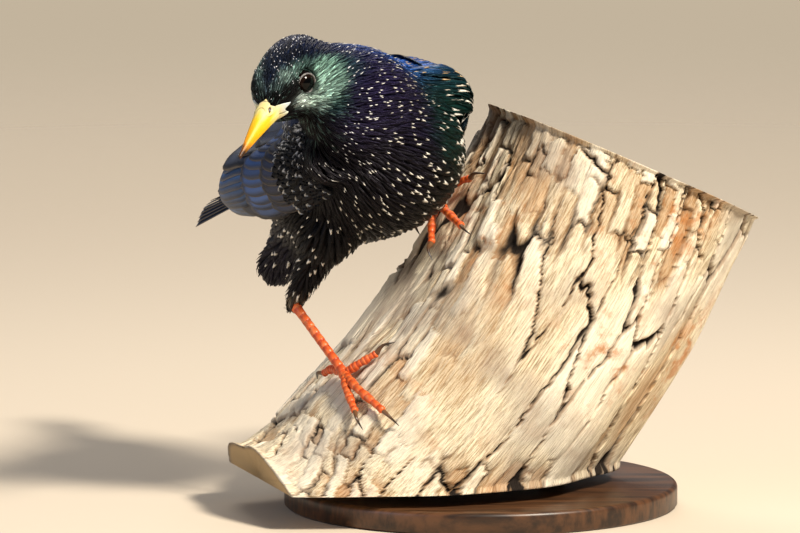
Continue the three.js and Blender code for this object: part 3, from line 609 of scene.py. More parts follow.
mesh_piece("skin", skin_places, skin_faces, BARE_SKIN, colours={"shine": shine_at(skin_places)})
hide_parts("head", "neck", "torso", "thigh_left", "thigh_right")

# %% [markdown]
# ## Wing and tail surfaces
# A folded wing lies along the body's side as one slightly rounded sheet, from the wrist back to the tips.
# Two numbers place anything on it: how far behind the wrist, and where between its lower and upper edge.
# The body feathers need this sheet too, since those in front of the wing lie over its edge.

# %% Wing sheet
WING_BEHIND = [0, 18, 45, 70, 95, 126]
WING_X = [25, 11, -12, -34, -57, -85]
WING_Z = [6, 8, 10, 10, 9, 8]
WING_HALF = [9, 13.5, 15, 12.5, 8.5, 5]
WING_LOW = [22, 26, 26.5, 24.5, 19, 11]
WING_MID = [25, 28.5, 28.5, 26.5, 19.5, 10.5]
WING_TOP = [18, 16, 10, 7, 6, 5.5]
# How much wider and higher each wing is held at its front, and how much wider at its tip.
WING_HELD = {1: (3.5, 5, 0.6), -1: (0.5, 0, 0)}


def smooth_row(s, stations, values):
    """A smooth curve through values at stations, with the slope at each from its two neighbours."""
    s = np.asarray(s, float)
    stations, values = np.array(stations, float), np.array(values, float)
    i = np.clip(np.searchsorted(stations, s, side="right") - 1, 0, len(stations) - 2)
    t = np.clip((s - stations[i]) / (stations[i + 1] - stations[i]), 0, 1)
    before, after = values[np.maximum(i - 1, 0)], values[np.minimum(i + 2, len(values) - 1)]
    a, b = (values[i + 1] - before) / 2, (after - values[i]) / 2
    return ((2 * t**3 - 3 * t**2 + 1) * values[i] + (t**3 - 2 * t**2 + t) * a
            + (3 * t**2 - 2 * t**3) * values[i + 1] + (t**3 - t**2) * b)


def bowed(low, mid, top, c):
    """The parabola through low at c = -1, mid at 0 and top at 1."""
    return mid + (top - low) / 2 * c + ((top + low) / 2 - mid) * c * c


def wing_place(side, s, c, lift):
    """The wing's sheet at s behind the wrist and c across, raised by lift. It bows out as a
    parabola in c, and its top edge is drawn in until it lies on the back."""
    s, c, lift = np.broadcast_arrays(s, c, lift)
    rows = (WING_X, WING_Z, WING_HALF, WING_LOW, WING_MID, WING_TOP)
    x, z, half, low, mid, top = (smooth_row(s, WING_BEHIND, row) for row in rows)
    out = bowed(low, mid, top, c)
    lean = ((top - low) / 2 + ((top + low) / 2 - mid) * 2 * c) / half
    size = np.hypot(1, lean)
    wider, higher, tip_wider = WING_HELD[side]
    held = 1 - eased(s, 30, 110)
    y = out + tip_wider + (wider - tip_wider) * held + lift / size
    places = at(TORSO, x, side * y, z + higher * held + c * half - lift * lean / size)
    n, d = slope(outline, places)
    top_edge = eased(c, 0.05, 0.65) * (1 - eased(s, 45, 80))
    above = np.maximum(d - 0.5 - 0.6 * np.maximum(lift, 0), 0)
    return places - n * (above * top_edge)[..., None]


def wing_under(p):
    """How far out the sheet lies over each place of the body, and how far across the wing the place is."""
    local = within(TORSO, p)
    left = local[..., 1] > 0
    s = np.interp(-local[..., 0], -np.array(WING_X, float), WING_BEHIND, left=-20, right=150)
    higher = np.where(left, WING_HELD[1][1], WING_HELD[-1][1])
    wider = np.where(left, WING_HELD[1][0], WING_HELD[-1][0])
    up = local[..., 2] - np.interp(s, WING_BEHIND, WING_Z) - higher
    c = up / np.interp(s, WING_BEHIND, WING_HALF)
    low, mid, top = (np.interp(s, WING_BEHIND, row) for row in (WING_LOW, WING_MID, WING_TOP))
    return local, c, bowed(low, mid, top, c) + wider


def over_wing(p, lift):
    """Pushes places out so that they lie on the front of the wing, where they would be inside it."""
    local, c, out = wing_under(p)
    x = local[..., 0]
    over = eased(x, 4, 14) * (1 - eased(x, 27, 34)) * eased(1.2 - np.abs(c), 0, 0.35)
    side = np.where(local[..., 1] > 0, 1, -1)
    y = local[..., 1] * side
    local[..., 1] = side * (y + np.maximum(out + 2.4 + lift - y, 0) * over)
    return TORSO["centre"] + local @ TORSO["axes"]


def under_wing(p):
    """True where a place lies close under a wing, so that no body feather is needed there."""
    local, c, out = wing_under(p)
    x, y = local[..., 0], local[..., 1]
    return (x < 20) & (x > -62) & (np.abs(c) < 0.92) & (np.abs(y) > out - 9)


print("wing length in mm:", WING_BEHIND[-1])

# %% [markdown]
# ## Body feathers
# A small bird has some three thousand body feathers, each rooted in the skin and lying back over the next.
# Here places are drawn at random on the skin and thinned until no two are closer than the local spacing, as
# seeds settle. From each root a vane is walked over the skin in steps, along the lie of the coat: away from
# the bill on the head, fanning from the throat over the breast, and back along the body. Walking keeps each
# vane on the curved skin.

# %% Roots and the lie of the coat
BILL_ROOT = at(HEAD, 13, 0, -1)
THROAT = at(HEAD, 4, -1, -9)
BILL_EDGE_ANGLE = np.radians([-90, -58, -28, -12, 0, 9, 18, 27, 40, 62, 78, 90])
BILL_EDGE_X = [16.3, 15.6, 13.6, 11.2, 12.6, 12.2, 9.4, 12.2, 15.6, 16.4, 15.4, 14.2]


def bill_edge(y, z):
    """How far forward the feathers end at the bill, by the angle round it: two pale corners reach back."""
    return np.interp(np.arctan2(z + 1.0, np.abs(y)), BILL_EDGE_ANGLE, BILL_EDGE_X)


def lie_at(p, n):
    """Direction of the coat: away from the bill, then from the throat, then back along the body."""
    from_bill = p - BILL_ROOT
    from_throat = p - THROAT
    near_bill = lengths(from_bill)
    near_throat = lengths(from_throat)
    back = -TORSO["axes"][0] - 0.15 * TORSO["axes"][2]
    head = np.exp(-((near_bill / 20) ** 2)) * 2.5
    neck = np.exp(-((near_throat / 46) ** 2)) * 1.6 * eased(near_bill, 12, 26)
    local = within(TORSO, p)
    rear = eased(-local[..., :1], -22, 18) * 2 + 0.06
    lie = head * from_bill / near_bill + neck * from_throat / near_throat + rear * back
    thigh = eased(-(p[..., 2:] - 76), -8, 8) * (local[..., 2:] < 0)
    lie = lie + thigh * np.array([-0.1, 0.15, -1.6])
    lie = lie - n * np.sum(lie * n, -1, keepdims=True)
    return lie / np.maximum(lengths(lie), 1e-6)


def belly_at(p):
    """1 low on the belly and thighs, and 0 above them, by height over the floor."""
    return eased(88 - p[..., 2], 0, 12)


def spacing_at(p):
    """Distance between roots in mm: finest on the face, wider on the back and belly."""
    gap = np.interp(from_face(p), [4, 12, 22, 36, 60, 90], [0.34, 0.44, 0.66, 1.0, 1.5, 1.8])
    return gap * (1 - 0.3 * belly_at(p))


def scattered(places, faces, spacing, wanted):
    """Random places on the faces' area, thinned so that no two are closer than the spacing there."""
    a, b, c, d = (places[faces[:, k]] for k in range(4))
    area = np.linalg.norm(np.cross(c - a, d - b), axis=-1) / 2
    middle = (a + c) / 2
    weight = area / spacing(middle) ** 2
    pick = random.choice(len(faces), wanted, p=weight / weight.sum())
    u, v = random.random((2, wanted, 1))
    spots = a[pick] * (1 - u) * (1 - v) + b[pick] * u * (1 - v)
    spots = spots + c[pick] * u * v + d[pick] * (1 - u) * v
    gaps = spacing(spots)
    tree = kdtree.KDTree(wanted)
    for i, spot in enumerate(spots):
        tree.insert(spot, i)
    tree.balance()
    free = np.ones(wanted, bool)
    for i in range(wanted):
        if free[i]:
            for _, j, _ in tree.find_range(spots[i], gaps[i]):
                free[j] = j == i
    return spots[free]


CANDIDATES = 170000
roots = scattered(skin_places, skin_faces, spacing_at, CANDIDATES)
print("feather roots:", len(roots))

# %% [markdown]
# A vane is a thin lens in section, widest past its middle on a round body feather and near its root on the
# long, pointed hackles of the throat and neck. Five rows of four places are enough for each, since the eye
# reads the coat as a whole and there are thousands of them.

# %% Vanes over the skin
ROW = np.array([0.0, 0.3, 0.6, 0.84, 1.0])
ROUND_WIDTH = np.array([0.45, 0.85, 1.0, 0.86, 0.34])
POINTED_WIDTH = np.array([0.7, 1.0, 0.82, 0.5, 0.14])
LENS = np.array([-1.0, 0.0, 1.0, 0.0])
LENS_THICK = np.array([0, 0.03, 0, -0.03])
LENS_ACROSS = np.array([[0, 0.5, 1, 0.5]])
VANE_FACES = tube_faces(len(ROW), 4)
LID_CLEAR = 3.3
BUFF = "#c9a878"


def walked(start, length, jitter):
    """Places along each vane: steps over the skin along the lie, each settled back onto the skin."""
    p, n = settle(skin_distance, start, 1)
    path, normals, lies = [], [], []
    for i, t in enumerate(ROW):
        lie = lie_at(p, n)
        lie = lie + np.cross(n, lie) * jitter[:, None]
        lie /= lengths(lie)
        path.append(p)
        normals.append(n)
        lies.append(lie)
        if i + 1 < len(ROW):
            p = p + lie * ((ROW[i + 1] - t) * length)[:, None]
            p, n = settle(skin_distance, p, 2)
    return np.stack(path, 1), np.stack(normals, 1), np.stack(lies, 1)


def vane_sizes(p):
    """Length, half width and pointedness of the feather that roots at each place, in mm."""
    away = from_face(p)
    length = np.interp(away, [4, 10, 20, 34, 50, 80], [1.5, 2.2, 4.0, 8.0, 9.0, 10.0])
    half = np.interp(away, [4, 10, 20, 34, 50, 80], [0.17, 0.23, 0.4, 0.58, 1.0, 1.7])
    pointed = np.interp(away, [10, 24, 46, 66], [0.6, 1.0, 0.9, 0.15])
    low = belly_at(p)
    return length * (1 + 0.1 * low), half * (1 - 0.5 * low), np.maximum(pointed, 0.85 * low)


def clear_of_eyes(p, length):
    """Shortens vanes that would reach over an eye, and drops roots inside the ring of its lids."""
    keep = np.ones(len(p), bool)
    for side in SIDES:
        eye = eye_centre(side) + 2.6 * eye_look(side)
        far = np.linalg.norm(p - eye, axis=-1)
        keep &= far > LID_CLEAR
        toward = np.einsum("ij,ij->i", lie_at(p, slope(outline, p)[0]), (eye - p) / far[:, None])
        short = np.minimum(length, np.maximum((far - LID_CLEAR) * 0.9, 0.5))
        length = np.where((toward > 0.2) & (far < 9), short, length)
    return keep, length


def eye_look(side):
    """The way an eye looks: to its side, and half as much forward."""
    look = side * HEAD["axes"][1] + 0.5 * HEAD["axes"][0] + 0.04 * HEAD["axes"][2]
    return look / np.linalg.norm(look)


def vane_piece(name, start, rings, faces, shine, tip, pale):
    """Body vanes as one piece. rings has the places of each vane, and the rest is one row for each vane."""
    count, each = rings.shape[:2]
    uv = stacked(LENS_ACROSS, ROW[:, None]).reshape(1, -1, 2)
    uv = np.broadcast_to(uv, (count, each, 2))
    colours = {"shine": np.repeat(shine, each, 0), "tip": np.repeat(tip, each, 0)}
    return mesh_piece(
        name, rings.reshape(-1, 3), faces, PLUMAGE, uv=uv.reshape(-1, 2), bake=bake_map(start, uv),
        colours=colours, values={"pale": np.repeat(pale, each)},
    )


def feather_coat(name, start):
    """Body feathers as one mesh: vanes that rise from the skin to the outline, each with shine and tip."""
    length, half, pointed = vane_sizes(start)
    keep, length = clear_of_eyes(start, length)
    start, length, half, pointed = start[keep], length[keep], half[keep], pointed[keep]
    count = len(start)
    length = length * random.uniform(0.82, 1.15, count)
    path, normals, lies = walked(start, length, random.normal(0, 0.1, count))
    rise = coat_depth(start) * random.uniform(0.75, 1.08, count)
    near_face = 1 - eased(from_face(start), 12, 24)[:, None]
    sunk = 0.3 * (1 - near_face)
    lift = rise[:, None] * ((0.95 + sunk) * ROW - sunk) + 0.05
    width = half[:, None] * (ROUND_WIDTH + (POINTED_WIDTH - ROUND_WIDTH) * pointed[:, None])
    tilt = random.normal(0, 0.12, count)[:, None]
    middle = over_wing(path + normals * lift[..., None], 0.5)
    rings = middle[:, :, None] + np.cross(normals, lies)[:, :, None] * (width[..., None] * LENS)[..., None]
    crown = np.array([-0.16, 0.06, -0.16, -0.02])
    height = width[..., None] * crown + LENS * (tilt * width)[..., None] + LENS_THICK
    rings = (rings + normals[:, :, None] * height[..., None]).reshape(count, -1, 3)
    tone = random.uniform(0.7, 1.35, (count, 1)) * np.exp(near_face * random.normal(-0.1, 0.55, (count, 1)))
    face_side = near_face * (1 - eased(within(HEAD, start)[:, 2:], 2, 5))
    silver = face_side * (random.random((count, 1)) < 0.2) * random.uniform(0.3, 1, (count, 1))
    shine = shine_at(start) * tone + silver * linear("#6c8c86")
    pale = pale_at(start) * random.uniform(0.6, 1.2, count) * (random.random(count) < pale_share(start))
    return vane_piece(name, start, rings, copies(rings, VANE_FACES), shine, tip_colour(start), pale)


def pale_share(p):
    """Share of feathers that carry a pale tip: none on cheek and lore, and fewer towards the belly's end."""
    away = from_face(p)
    in_head = within(HEAD, p)
    crown = eased(in_head[..., 2] + 0.3 * in_head[..., 0], 5.5, 8.5)
    near_cheek = 1 - eased(away, 16, 22)
    face = np.interp(away, [6, 12, 20], [0.05, 0.15, 0.2]) * (crown * near_cheek + 1 - near_cheek)
    body = np.interp(away, [20, 30, 46, 70, 95], [0.22, 0.18, 0.17, 0.13, 0.1]) + 0.22 * shoulder_at(p)
    return np.where(away < 20, face, body)


def tip_colour(p):
    """Pale tips are white below, whiter still near the face, and buff on the back and the wing's top."""
    away = from_face(p)[:, None]
    buff = eased(within(TORSO, p)[:, 2:], 12, 20) * eased(away, 34, 44)
    warm, cool = linear("#f2efe6"), linear("#f4f7ff")
    white = warm + (cool - warm) * (1 - eased(away, 16, 34))
    return white * (1 - buff) + linear(BUFF) * buff


def bake_map(start, uv):
    """The bake's map: each vane is a patch 0.003 across, at its root's place on the unrolled body."""
    local = within(TORSO, start)
    turn = np.arctan2(local[:, 1], local[:, 2]) / (2 * np.pi) + 0.5
    along = np.clip((local[:, 0] + 75) / 150, 0, 1)
    place = np.stack([0.01 + 0.98 * turn, 0.01 + 0.98 * along], -1)
    return (place[:, None] + (uv - 0.5) * 0.003).reshape(-1, 2)


in_head = within(HEAD, roots)
feathered = in_head[:, 0] < bill_edge(in_head[:, 1], in_head[:, 2]) - 0.1
free_roots = roots[~under_wing(roots) & feathered]
away = from_face(free_roots)
BANDS = {"face": (0, 16), "head": (16, 27), "neck": (27, 44), "breast": (44, 62), "back": (62, 200)}
for title, (near, far) in BANDS.items():
    piece = feather_coat(f"coat_{title}", free_roots[(away >= near) & (away < far)])
    print(piece.name, "triangles:", 2 * len(piece.data.polygons))

# %% [markdown]
# ## Wing and tail feathers
# Flight feathers are long, stiff vanes with a shaft, in tiers that lie over one another like roof tiles.
# Each vane is a grid, rooted under the tier above, whose places come from the wing's sheet, so it bends
# with the wing. They are dark with a blue-grey bloom and narrow buff edges.


# %% Flight feather finish
def flight_finish():
    """Blue-grey vanes with fine barbs, a dark shaft and rim, and
    a buff edge as strong as the attribute pale."""
    finish, add = new_finish("flight feather")
    lay, across, along = vane_map(add)
    barb = barbs_on(add, along, across, 60.0, 22.0)
    cloud = add("noise", lay, 6.0, 4.0)
    edge = add("step", add("line", cloud, 0.05, across), 0.465, 0.5)
    edge = add("larger", edge, add("step", add("line", cloud, 0.03, along), 0.985, 1.0))
    rim = add("larger", add("step", across, 0.22, 0.44), add("step", along, 0.86, 0.96))
    shaft = add("step", across, 0.012, 0.03, 1.0, 0.0)
    dark = add("mix", add("times", barb, 0.35), add("colour", attribute_name="shine"), "#0c0e14")
    dark = add("mix", add("times", rim, 0.8), dark, "#06070b")
    dark = add("mix", add("times", shaft, 0.7), dark, "#0a0806")
    buff = add("times", edge, add("mark", attribute_name="pale"))
    return surfaced(finish, {
        "Base Color": add("mix", buff, dark, "#87745c"),
        "Metallic": add("line", edge, -0.2, 0.25),
        "Roughness": add("line", barb, 0.15, 0.44),
        "Normal": add("bump", 0.4, 0.0001, barb),
    })


FLIGHT = flight_finish()
print("flight feather nodes:", len(FLIGHT.node_tree.nodes))

# %% [markdown]
# A tier is a count of vanes between a first and a last one. The table gives where on the sheet these two
# root and where they end, each as (s, c, s, c). Then come the half width, the height over the sheet at root
# and tip, the step down from vane to vane, the shine, the strength of the buff edge, and the share where
# the tip starts to round off.

# %% Wing tiers
VANE_ALONG = np.linspace(0, 1, 15)
VANE_ACROSS = np.linspace(-1, 1, 7)
VANE_THICK = 0.14
TIERS = {
    "primaries": (9, (50, -0.6, 62, 0.05), (90, -0.8, 125, 0.1), 3.3, -2.8, -2.3, 0.3, "#466ca6", 0.3, 0.8),
    "secondaries": (9, (42, -0.8, 36, 0.3), (88, -0.7, 74, 0.3), 4.2, -2.0, -0.2, 0.0, "#5882c0", 0.5, 0.78),
    "tertials": (3, (34, 0.3, 30, 0.7), (72, 0.35, 58, 0.7), 5.0, -1.4, 1.3, 0.0, "#203252", 0.7, 0.6),
    "primary": (6, (24, -0.95, 30, -0.7), (54, -0.95, 62, -0.8), 2.6, -1.6, 0.4, 0.0, "#1a2a48", 0.3, 0.7),
    "greater": (11, (18, -0.7, 14, 0.75), (51, -0.8, 43, 0.74), 3.6, -1.4, 1.5, 0.0, "#3a62a4", 0.5, 0.62),
    "median": (12, (8, -0.7, 6, 0.8), (33, -0.84, 28, 0.8), 3.3, -0.6, 2.1, 0.0, "#162a50", 0.5, 0.5),
}
EDGE_SHOWS = {1: 0.75, -1: 0.45}


def vane_grid(place, width, thick=VANE_THICK):
    """A closed vane from place(t, a, lift): its upper and under faces, as one ring of places for each row."""
    t, a = VANE_ALONG[:, None], VANE_ACROSS[None]
    ridge = 0.12 * np.exp(-((a / 0.12) ** 2))
    upper = place(t, a * width, thick / 2 + ridge)
    under = place(t, a[:, ::-1] * width, -thick / 2)
    ring = np.concatenate([upper, under], 1)
    uv_a = np.concatenate([VANE_ACROSS, VANE_ACROSS[::-1]]) / 2 + 0.5
    uv = stacked(uv_a[None], VANE_ALONG[:, None])
    return (*closed(ring), uv.reshape(-1, 2))


def vane_width(t, blunt=0.85):
    """Half width along a flight feather: quickly full, and rounded off at the tip."""
    rise = np.minimum(1, 0.45 + 1.6 * t)
    tip = np.sqrt(np.clip(1 - np.clip((t - blunt) / (1.001 - blunt), 0, 1) ** 2, 0.02, 1))
    return rise * tip


def flight_piece(name, node, vanes, patched):
    """Vanes as one piece that replaces a node, from the (places, faces, uv, shine, pale)
    of each. On the map of the bake a patched piece has one patch a vane."""
    places, faces = joined([vane[:2] for vane in vanes])
    uv = np.vstack([vane[2] for vane in vanes])
    sizes = [len(vane[0]) for vane in vanes]
    spots = np.repeat([vane[0].mean(0) for vane in vanes], sizes, 0) if patched else places
    piece = mesh_piece(
        name, places, faces, FLIGHT, uv=uv, bake=bake_map(spots, uv[:, None]),
        colours={"shine": np.repeat([vane[3] for vane in vanes], sizes, 0)},
        values={"pale": np.repeat([vane[4] for vane in vanes], sizes)},
    )
    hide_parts(node)
    return piece


def wing_feathers(side):
    """All tiers of one wing. Within a tier each vane slopes so that its upper edge lies under the next."""
    vanes = []
    for count, root, tip, half, sink, rise, drop, colour, edge, blunt in TIERS.values():
        spread = abs(tip[3] - tip[1]) * float(smooth_row(tip[0], WING_BEHIND, WING_HALF)) / (count - 1)
        lean = 0.42 * half / max(spread, 0.8) if drop == 0 else 0.12
        for i in range(count):
            share = i / (count - 1)
            s0, c0 = np.array(root[:2]) * (1 - share) + np.array(root[2:]) * share
            s1, c1 = np.array(tip[:2]) * (1 - share) + np.array(tip[2:]) * share
            s1 = s1 - random.uniform(0, 3)
            c1 = c1 + random.normal(0, 0.025)
            waver = random.normal(0, 0.05)

            def place(t, a, lift):
                s = s0 + (s1 - s0) * t
                c = c0 + (c1 - c0) * eased(t, -0.3, 1) + a * half / smooth_row(s, WING_BEHIND, WING_HALF)
                height = sink + (rise - sink) * eased(t, 0, 0.45) - drop * i - lean * a * eased(t, 0, 0.4)
                height = height - 0.25 * a * a + waver * a * 3
                return wing_place(side, s, c, height + lift)

            grid = vane_grid(place, vane_width(VANE_ALONG, blunt)[:, None])
            shine = linear(colour) * random.uniform(0.65, 1.35)
            vanes.append((*grid, shine, EDGE_SHOWS[side] * edge * random.uniform(0.5, 1.2)))
    return flight_piece(f"wing_feathers_{SIDES[side]}", f"wing_{SIDES[side]}", vanes, True)


for side in SIDES:
    piece = wing_feathers(side)
    print(piece.name, "triangles:", 2 * len(piece.data.polygons))

# %% [markdown]
# The front of the wing and its top edge are clad in small, round coverts and scapulars, in offset rows like
# scales. They hide the roots of the greater coverts, and join the wing to the breast and the back without a
# step.


# %% Lesser coverts and scapulars
COVERT_ROWS, COVERTS_A_ROW = 19, 18
# For each side: the vanes' width, their dark shine, the share that is spotted, the least and largest spot,
# and a factor on the spots' colour. The right wing's darker shine and dimmer spots are painted shade.
COVERTS = {1: (1.0, "#15304c", 0.4, 0.12, 0.45, 1.0), -1: (0.85, "#0b1622", 0.45, 0.1, 0.3, 0.65)}


def small_coverts(side):
    """Round vanes in offset rows on the wing's sheet. Rows reach further back along the top edge."""
    wide, dark, spotted, least, largest, painted_tip_shade = COVERTS[side]
    row, place = np.indices((COVERT_ROWS, COVERTS_A_ROW)).reshape(2, -1)
    c = -1.02 + (place + 0.5 * (row % 2)) * 0.13 + random.normal(0, 0.012, row.size)
    s = -7.5 + row * 2.3 + random.normal(0, 0.25, row.size)
    keep = (s < 13 + 26 * eased(c, 0.35, 0.95)) & (c < 1.03)
    s, c = s[keep][:, None, None], c[keep][:, None, None]
    count = len(s)
    t = ROW[None, :, None]
    length = random.uniform(7.5, 10, (count, 1, 1)) * (1 + 0.5 * eased(c, 0.5, 1))
    half = random.uniform(1.15, 1.4, (count, 1, 1))
    width = (wide * ROUND_WIDTH)[None, :, None]
    along = s + t * length
    across = LENS * half * width / smooth_row(np.clip(along, 0, 90), WING_BEHIND, WING_HALF)
    tilt = random.normal(-0.16, 0.03, (count, 1, 1))
    crown = half * width * np.array([-0.1, 0.05, -0.1, -0.02]) + LENS_THICK
    top = eased(c, 0.5, 0.95)
    lift = (1.4 + 1.4 * t) * (1 - 0.75 * top) + crown + tilt * LENS * half
    places = wing_place(side, along, c + 0.05 * t * c + across, lift).reshape(count, -1, 3)
    start = places[:, 0]
    own = 0.5 + 0.5 * top[:, 0]
    # On the right wing the darker shine is painted shade.
    shine = (shine_at(start) * own + linear(dark) * (1 - own)) * random.uniform(0.5, 1.5, (count, 1))
    pale = (random.random(count) < spotted) * random.uniform(least, largest, count)
    faces = copies(places, outward(places[0], VANE_FACES))
    # The factor dims the right wing's spots: painted shade.
    name, tip = f"small_coverts_{SIDES[side]}", tip_colour(start) * painted_tip_shade
    return vane_piece(name, start, places, faces, shine, tip, pale)


for side in SIDES:
    piece = small_coverts(side)
    print(piece.name, "triangles:", 2 * len(piece.data.polygons))


# %% Wing bed
# Two cushions a wing: where each starts and ends, its lower and upper edge, and its heights under and over
# the sheet.
CUSHIONS = [(-3, 50, -0.92, 0.95, -5, 0.2), (22, 64, -0.9, 0.2, -5.5, -2.4)]
CUSHION_RINGS, CUSHION_SIDES = 26, 28


def wing_bed(side):
    """The flesh and down of the folded arm that the vanes root in: closed cushions under the sheet."""
    parts = []
    for start, end, low, high, inner, outer in CUSHIONS:
        t = np.linspace(0, 1, CUSHION_RINGS)[:, None]
        full = np.sqrt(np.maximum(0.05, 1 - (2 * t - 1) ** 4))
        around = full_turn(CUSHION_SIDES)[None]
        across, up = np.cos(around), np.sin(around)
        c = (low + high) / 2 + (high - low) / 2 * full * np.sign(across) * np.abs(across) ** 0.8
        lift = np.where(up > 0, outer, -inner) * np.abs(up) ** 0.6 * np.sign(up) * full - (up > 0) * 0.4
        parts.append(closed(wing_place(side, start + (end - start) * t, c, lift)))
    places, faces = joined(parts)
    colours = {"shine": shine_at(places)}
    return mesh_piece(f"wing_bed_{SIDES[side]}", places, faces, BARE_SKIN, colours=colours)


for side in SIDES:
    wing_bed(side)

# %% [markdown]
# ## Tail
# Twelve stiff feathers, closed like a fan: the two middle ones lie on top, and each of the others starts at
# the midline a step lower and reaches further out. The root is hidden by the coverts, short vanes over and
# under it.


# %% Tail feathers
def tail_feathers():
    """Six vanes a side from the tail's root, each one step lower and a little wider out than the last."""
    vanes = []
    for side in SIDES:
        for i in range(6):
            length = 68.4 - 3 * math.exp(-i) - 0.5 * i + random.uniform(0, 1)
            layer = (0 if side > 0 else 0.5) + i * 0.62

            def place(t, a, lift):
                reach = 4.1 + 0.4 * t + i * (0.45 + 0.68 * t)
                inner = -2.6 if i == 0 else 0.3
                y = (inner + reach) / 2 + a * (reach - inner) / 2
                return at(TAIL, -t * length, side * y, 2 - layer + lift - 0.03 * y * y)

            grid = vane_grid(place, vane_width(VANE_ALONG, 0.93)[:, None])
            vanes.append((*grid, linear("#4a6692") * random.uniform(0.85, 1.2), 0.5))
    return flight_piece("tail_feathers", "tail", vanes, False)


def tail_root():
    """The fleshy root of the tail, a tapered egg that the vanes leave."""
    t = np.linspace(0, 1, 20)[:, None]
    around = full_turn(24)[None]
    full = np.sqrt(np.maximum(0.02, 1 - (1.9 * t - 0.95) ** 2))
    y, z = 6.3 * full * np.cos(around), -1.2 + 4.4 * full * np.sin(around)
    places, faces = closed(at(TAIL, 10 - 32 * t, y, z))
    return mesh_piece("tail_root", places, faces, BARE_SKIN, colours={"shine": shine_at(places)})


def tail_coverts():
    """Upper and under tail coverts: four rows each of round vanes that hide the root of the tail."""
    row, number = np.indices((4, 11)).reshape(2, -1)
    t = ROW[None, :, None]
    width = (3.0 * ROUND_WIDTH)[None, :, None]
    lift = 0.4 + 0.9 * t + np.array([0.0, 0.1, 0.0, -0.05]) - 0.15 * row[:, None, None]
    rings, faces = [], []
    for over, length in ((1, 15), (-1, 18)):
        angle = np.radians(-80 + 16 * number + 8 * (row % 2)) + random.normal(0, 0.05, len(row))
        start = 3 - row * 5.5 + random.normal(0, 0.6, len(row))
        turn = angle[:, None, None] + LENS * width / 6.5
        x = start[:, None, None] - t * length
        y, z = (6.6 + lift) * np.sin(turn), -1.0 + over * (4.4 + lift) * np.cos(turn)
        rings.append(at(TAIL, x, y, z).reshape(len(row), -1, 3))
        faces.append(copies(rings[-1], outward(rings[-1][0 if over > 0 else -1], VANE_FACES)))
    faces = np.vstack([faces[0], faces[1] + rings[0].shape[0] * rings[0].shape[1]])
    rings = np.vstack(rings)
    count = len(rings)
    shine = shine_at(rings[:, 0]) * random.uniform(0.8, 1.2, (count, 1))
    tip = np.tile(linear(BUFF), (count, 1))
    return vane_piece("tail_coverts", rings[:, 0], rings, faces, shine, tip, np.full(count, 0.12))


tail_feathers()
tail_root()
tail_coverts()
print("tail done")

# %% [markdown]
# ## Bill
# The bill is horn over bone: two shells that meet along the mouth, which turns down at its corner. In
# spring it is bright yellow with a pale, bluish base; its dark tip is painted shade. Each half is a row of
# half rings from root to tip.


# %% Bill
BILL_LENGTH, BILL_INSIDE, BILL_START, BILL_DROP, GAP = 24.0, 4.0, 12.5, -1.2, 0.3
BILL_RINGS, BILL_SIDES = 84, 57
NOSTRIL_X, NOSTRIL_Z = 17.6, 1.45
GAPE_CORNER = np.array([11.4, 6.0, 0.3])
# The last stop, dark brown at the tip, is painted shade.
HORN_STOPS = [
    (0.04, "#dccf98"), (0.2, "#e6d684"), (0.34, "#e9bd22"),
    (0.6, "#f0b004"), (0.76, "#e89a10"), (0.92, "#3a2412"),
]


def bill_finish():
    """Smooth horn. The map runs from 0 at the root to 1 at the tip, and colours change along it. The dark tip
    is painted shade.
    """
    finish, add = new_finish("bill horn")
    lay, across, along = vane_map(add)
    cloud = add("noise", add("object"), 420.0, 5.0)
    horn = add("bar", add("less", add("line", cloud, 0.14, along), 0.07))
    bar = horn.node.color_ramp
    for element, (position, colour) in zip(bar.elements, (HORN_STOPS[0], HORN_STOPS[-1])):
        element.position, element.color = position, (*linear(colour), 1.0)
    for position, colour in HORN_STOPS[1:-1]:
        bar.elements.new(position).color = (*linear(colour), 1.0)
    ridge = add("times", add("step", across, 0.0, 0.22, 1.0, 0.0), add("step", along, 0.35, 0.6))
    # Painted shade: the culmen darkens near the tip.
    painted_tip_shade = add("times", ridge, add("step", along, 0.72, 0.86))
    # Painted shade: the nostril and the groove round it are painted dark.
    nostril_shade = add("step", add("mark", attribute_name="nostril_shade"), 0.35, 0.75)
    colour = add("mix", add("times", ridge, 0.5), horn, "#f08a10")
    colour = add("mix", add("mark", attribute_name="gape"), colour, "#bcd0e0")
    colour = add("mix", add("times", painted_tip_shade, 0.9), colour, "#3c2614")
    grain = add("noise", add("stretch", lay, (60.0, 4.0, 1.0)), 1.0, 3.0)
    return surfaced(finish, {
        "Base Color": add("mix", nostril_shade, colour, "#2a2016"),
        "Roughness": 0.4,
        "Subsurface Weight": 0.12,
        "Subsurface Radius": (0.0012, 0.0008, 0.0003),
        "Normal": add("bump", 0.25, 0.0002, grain),
    })


BILL_HORN = bill_finish()


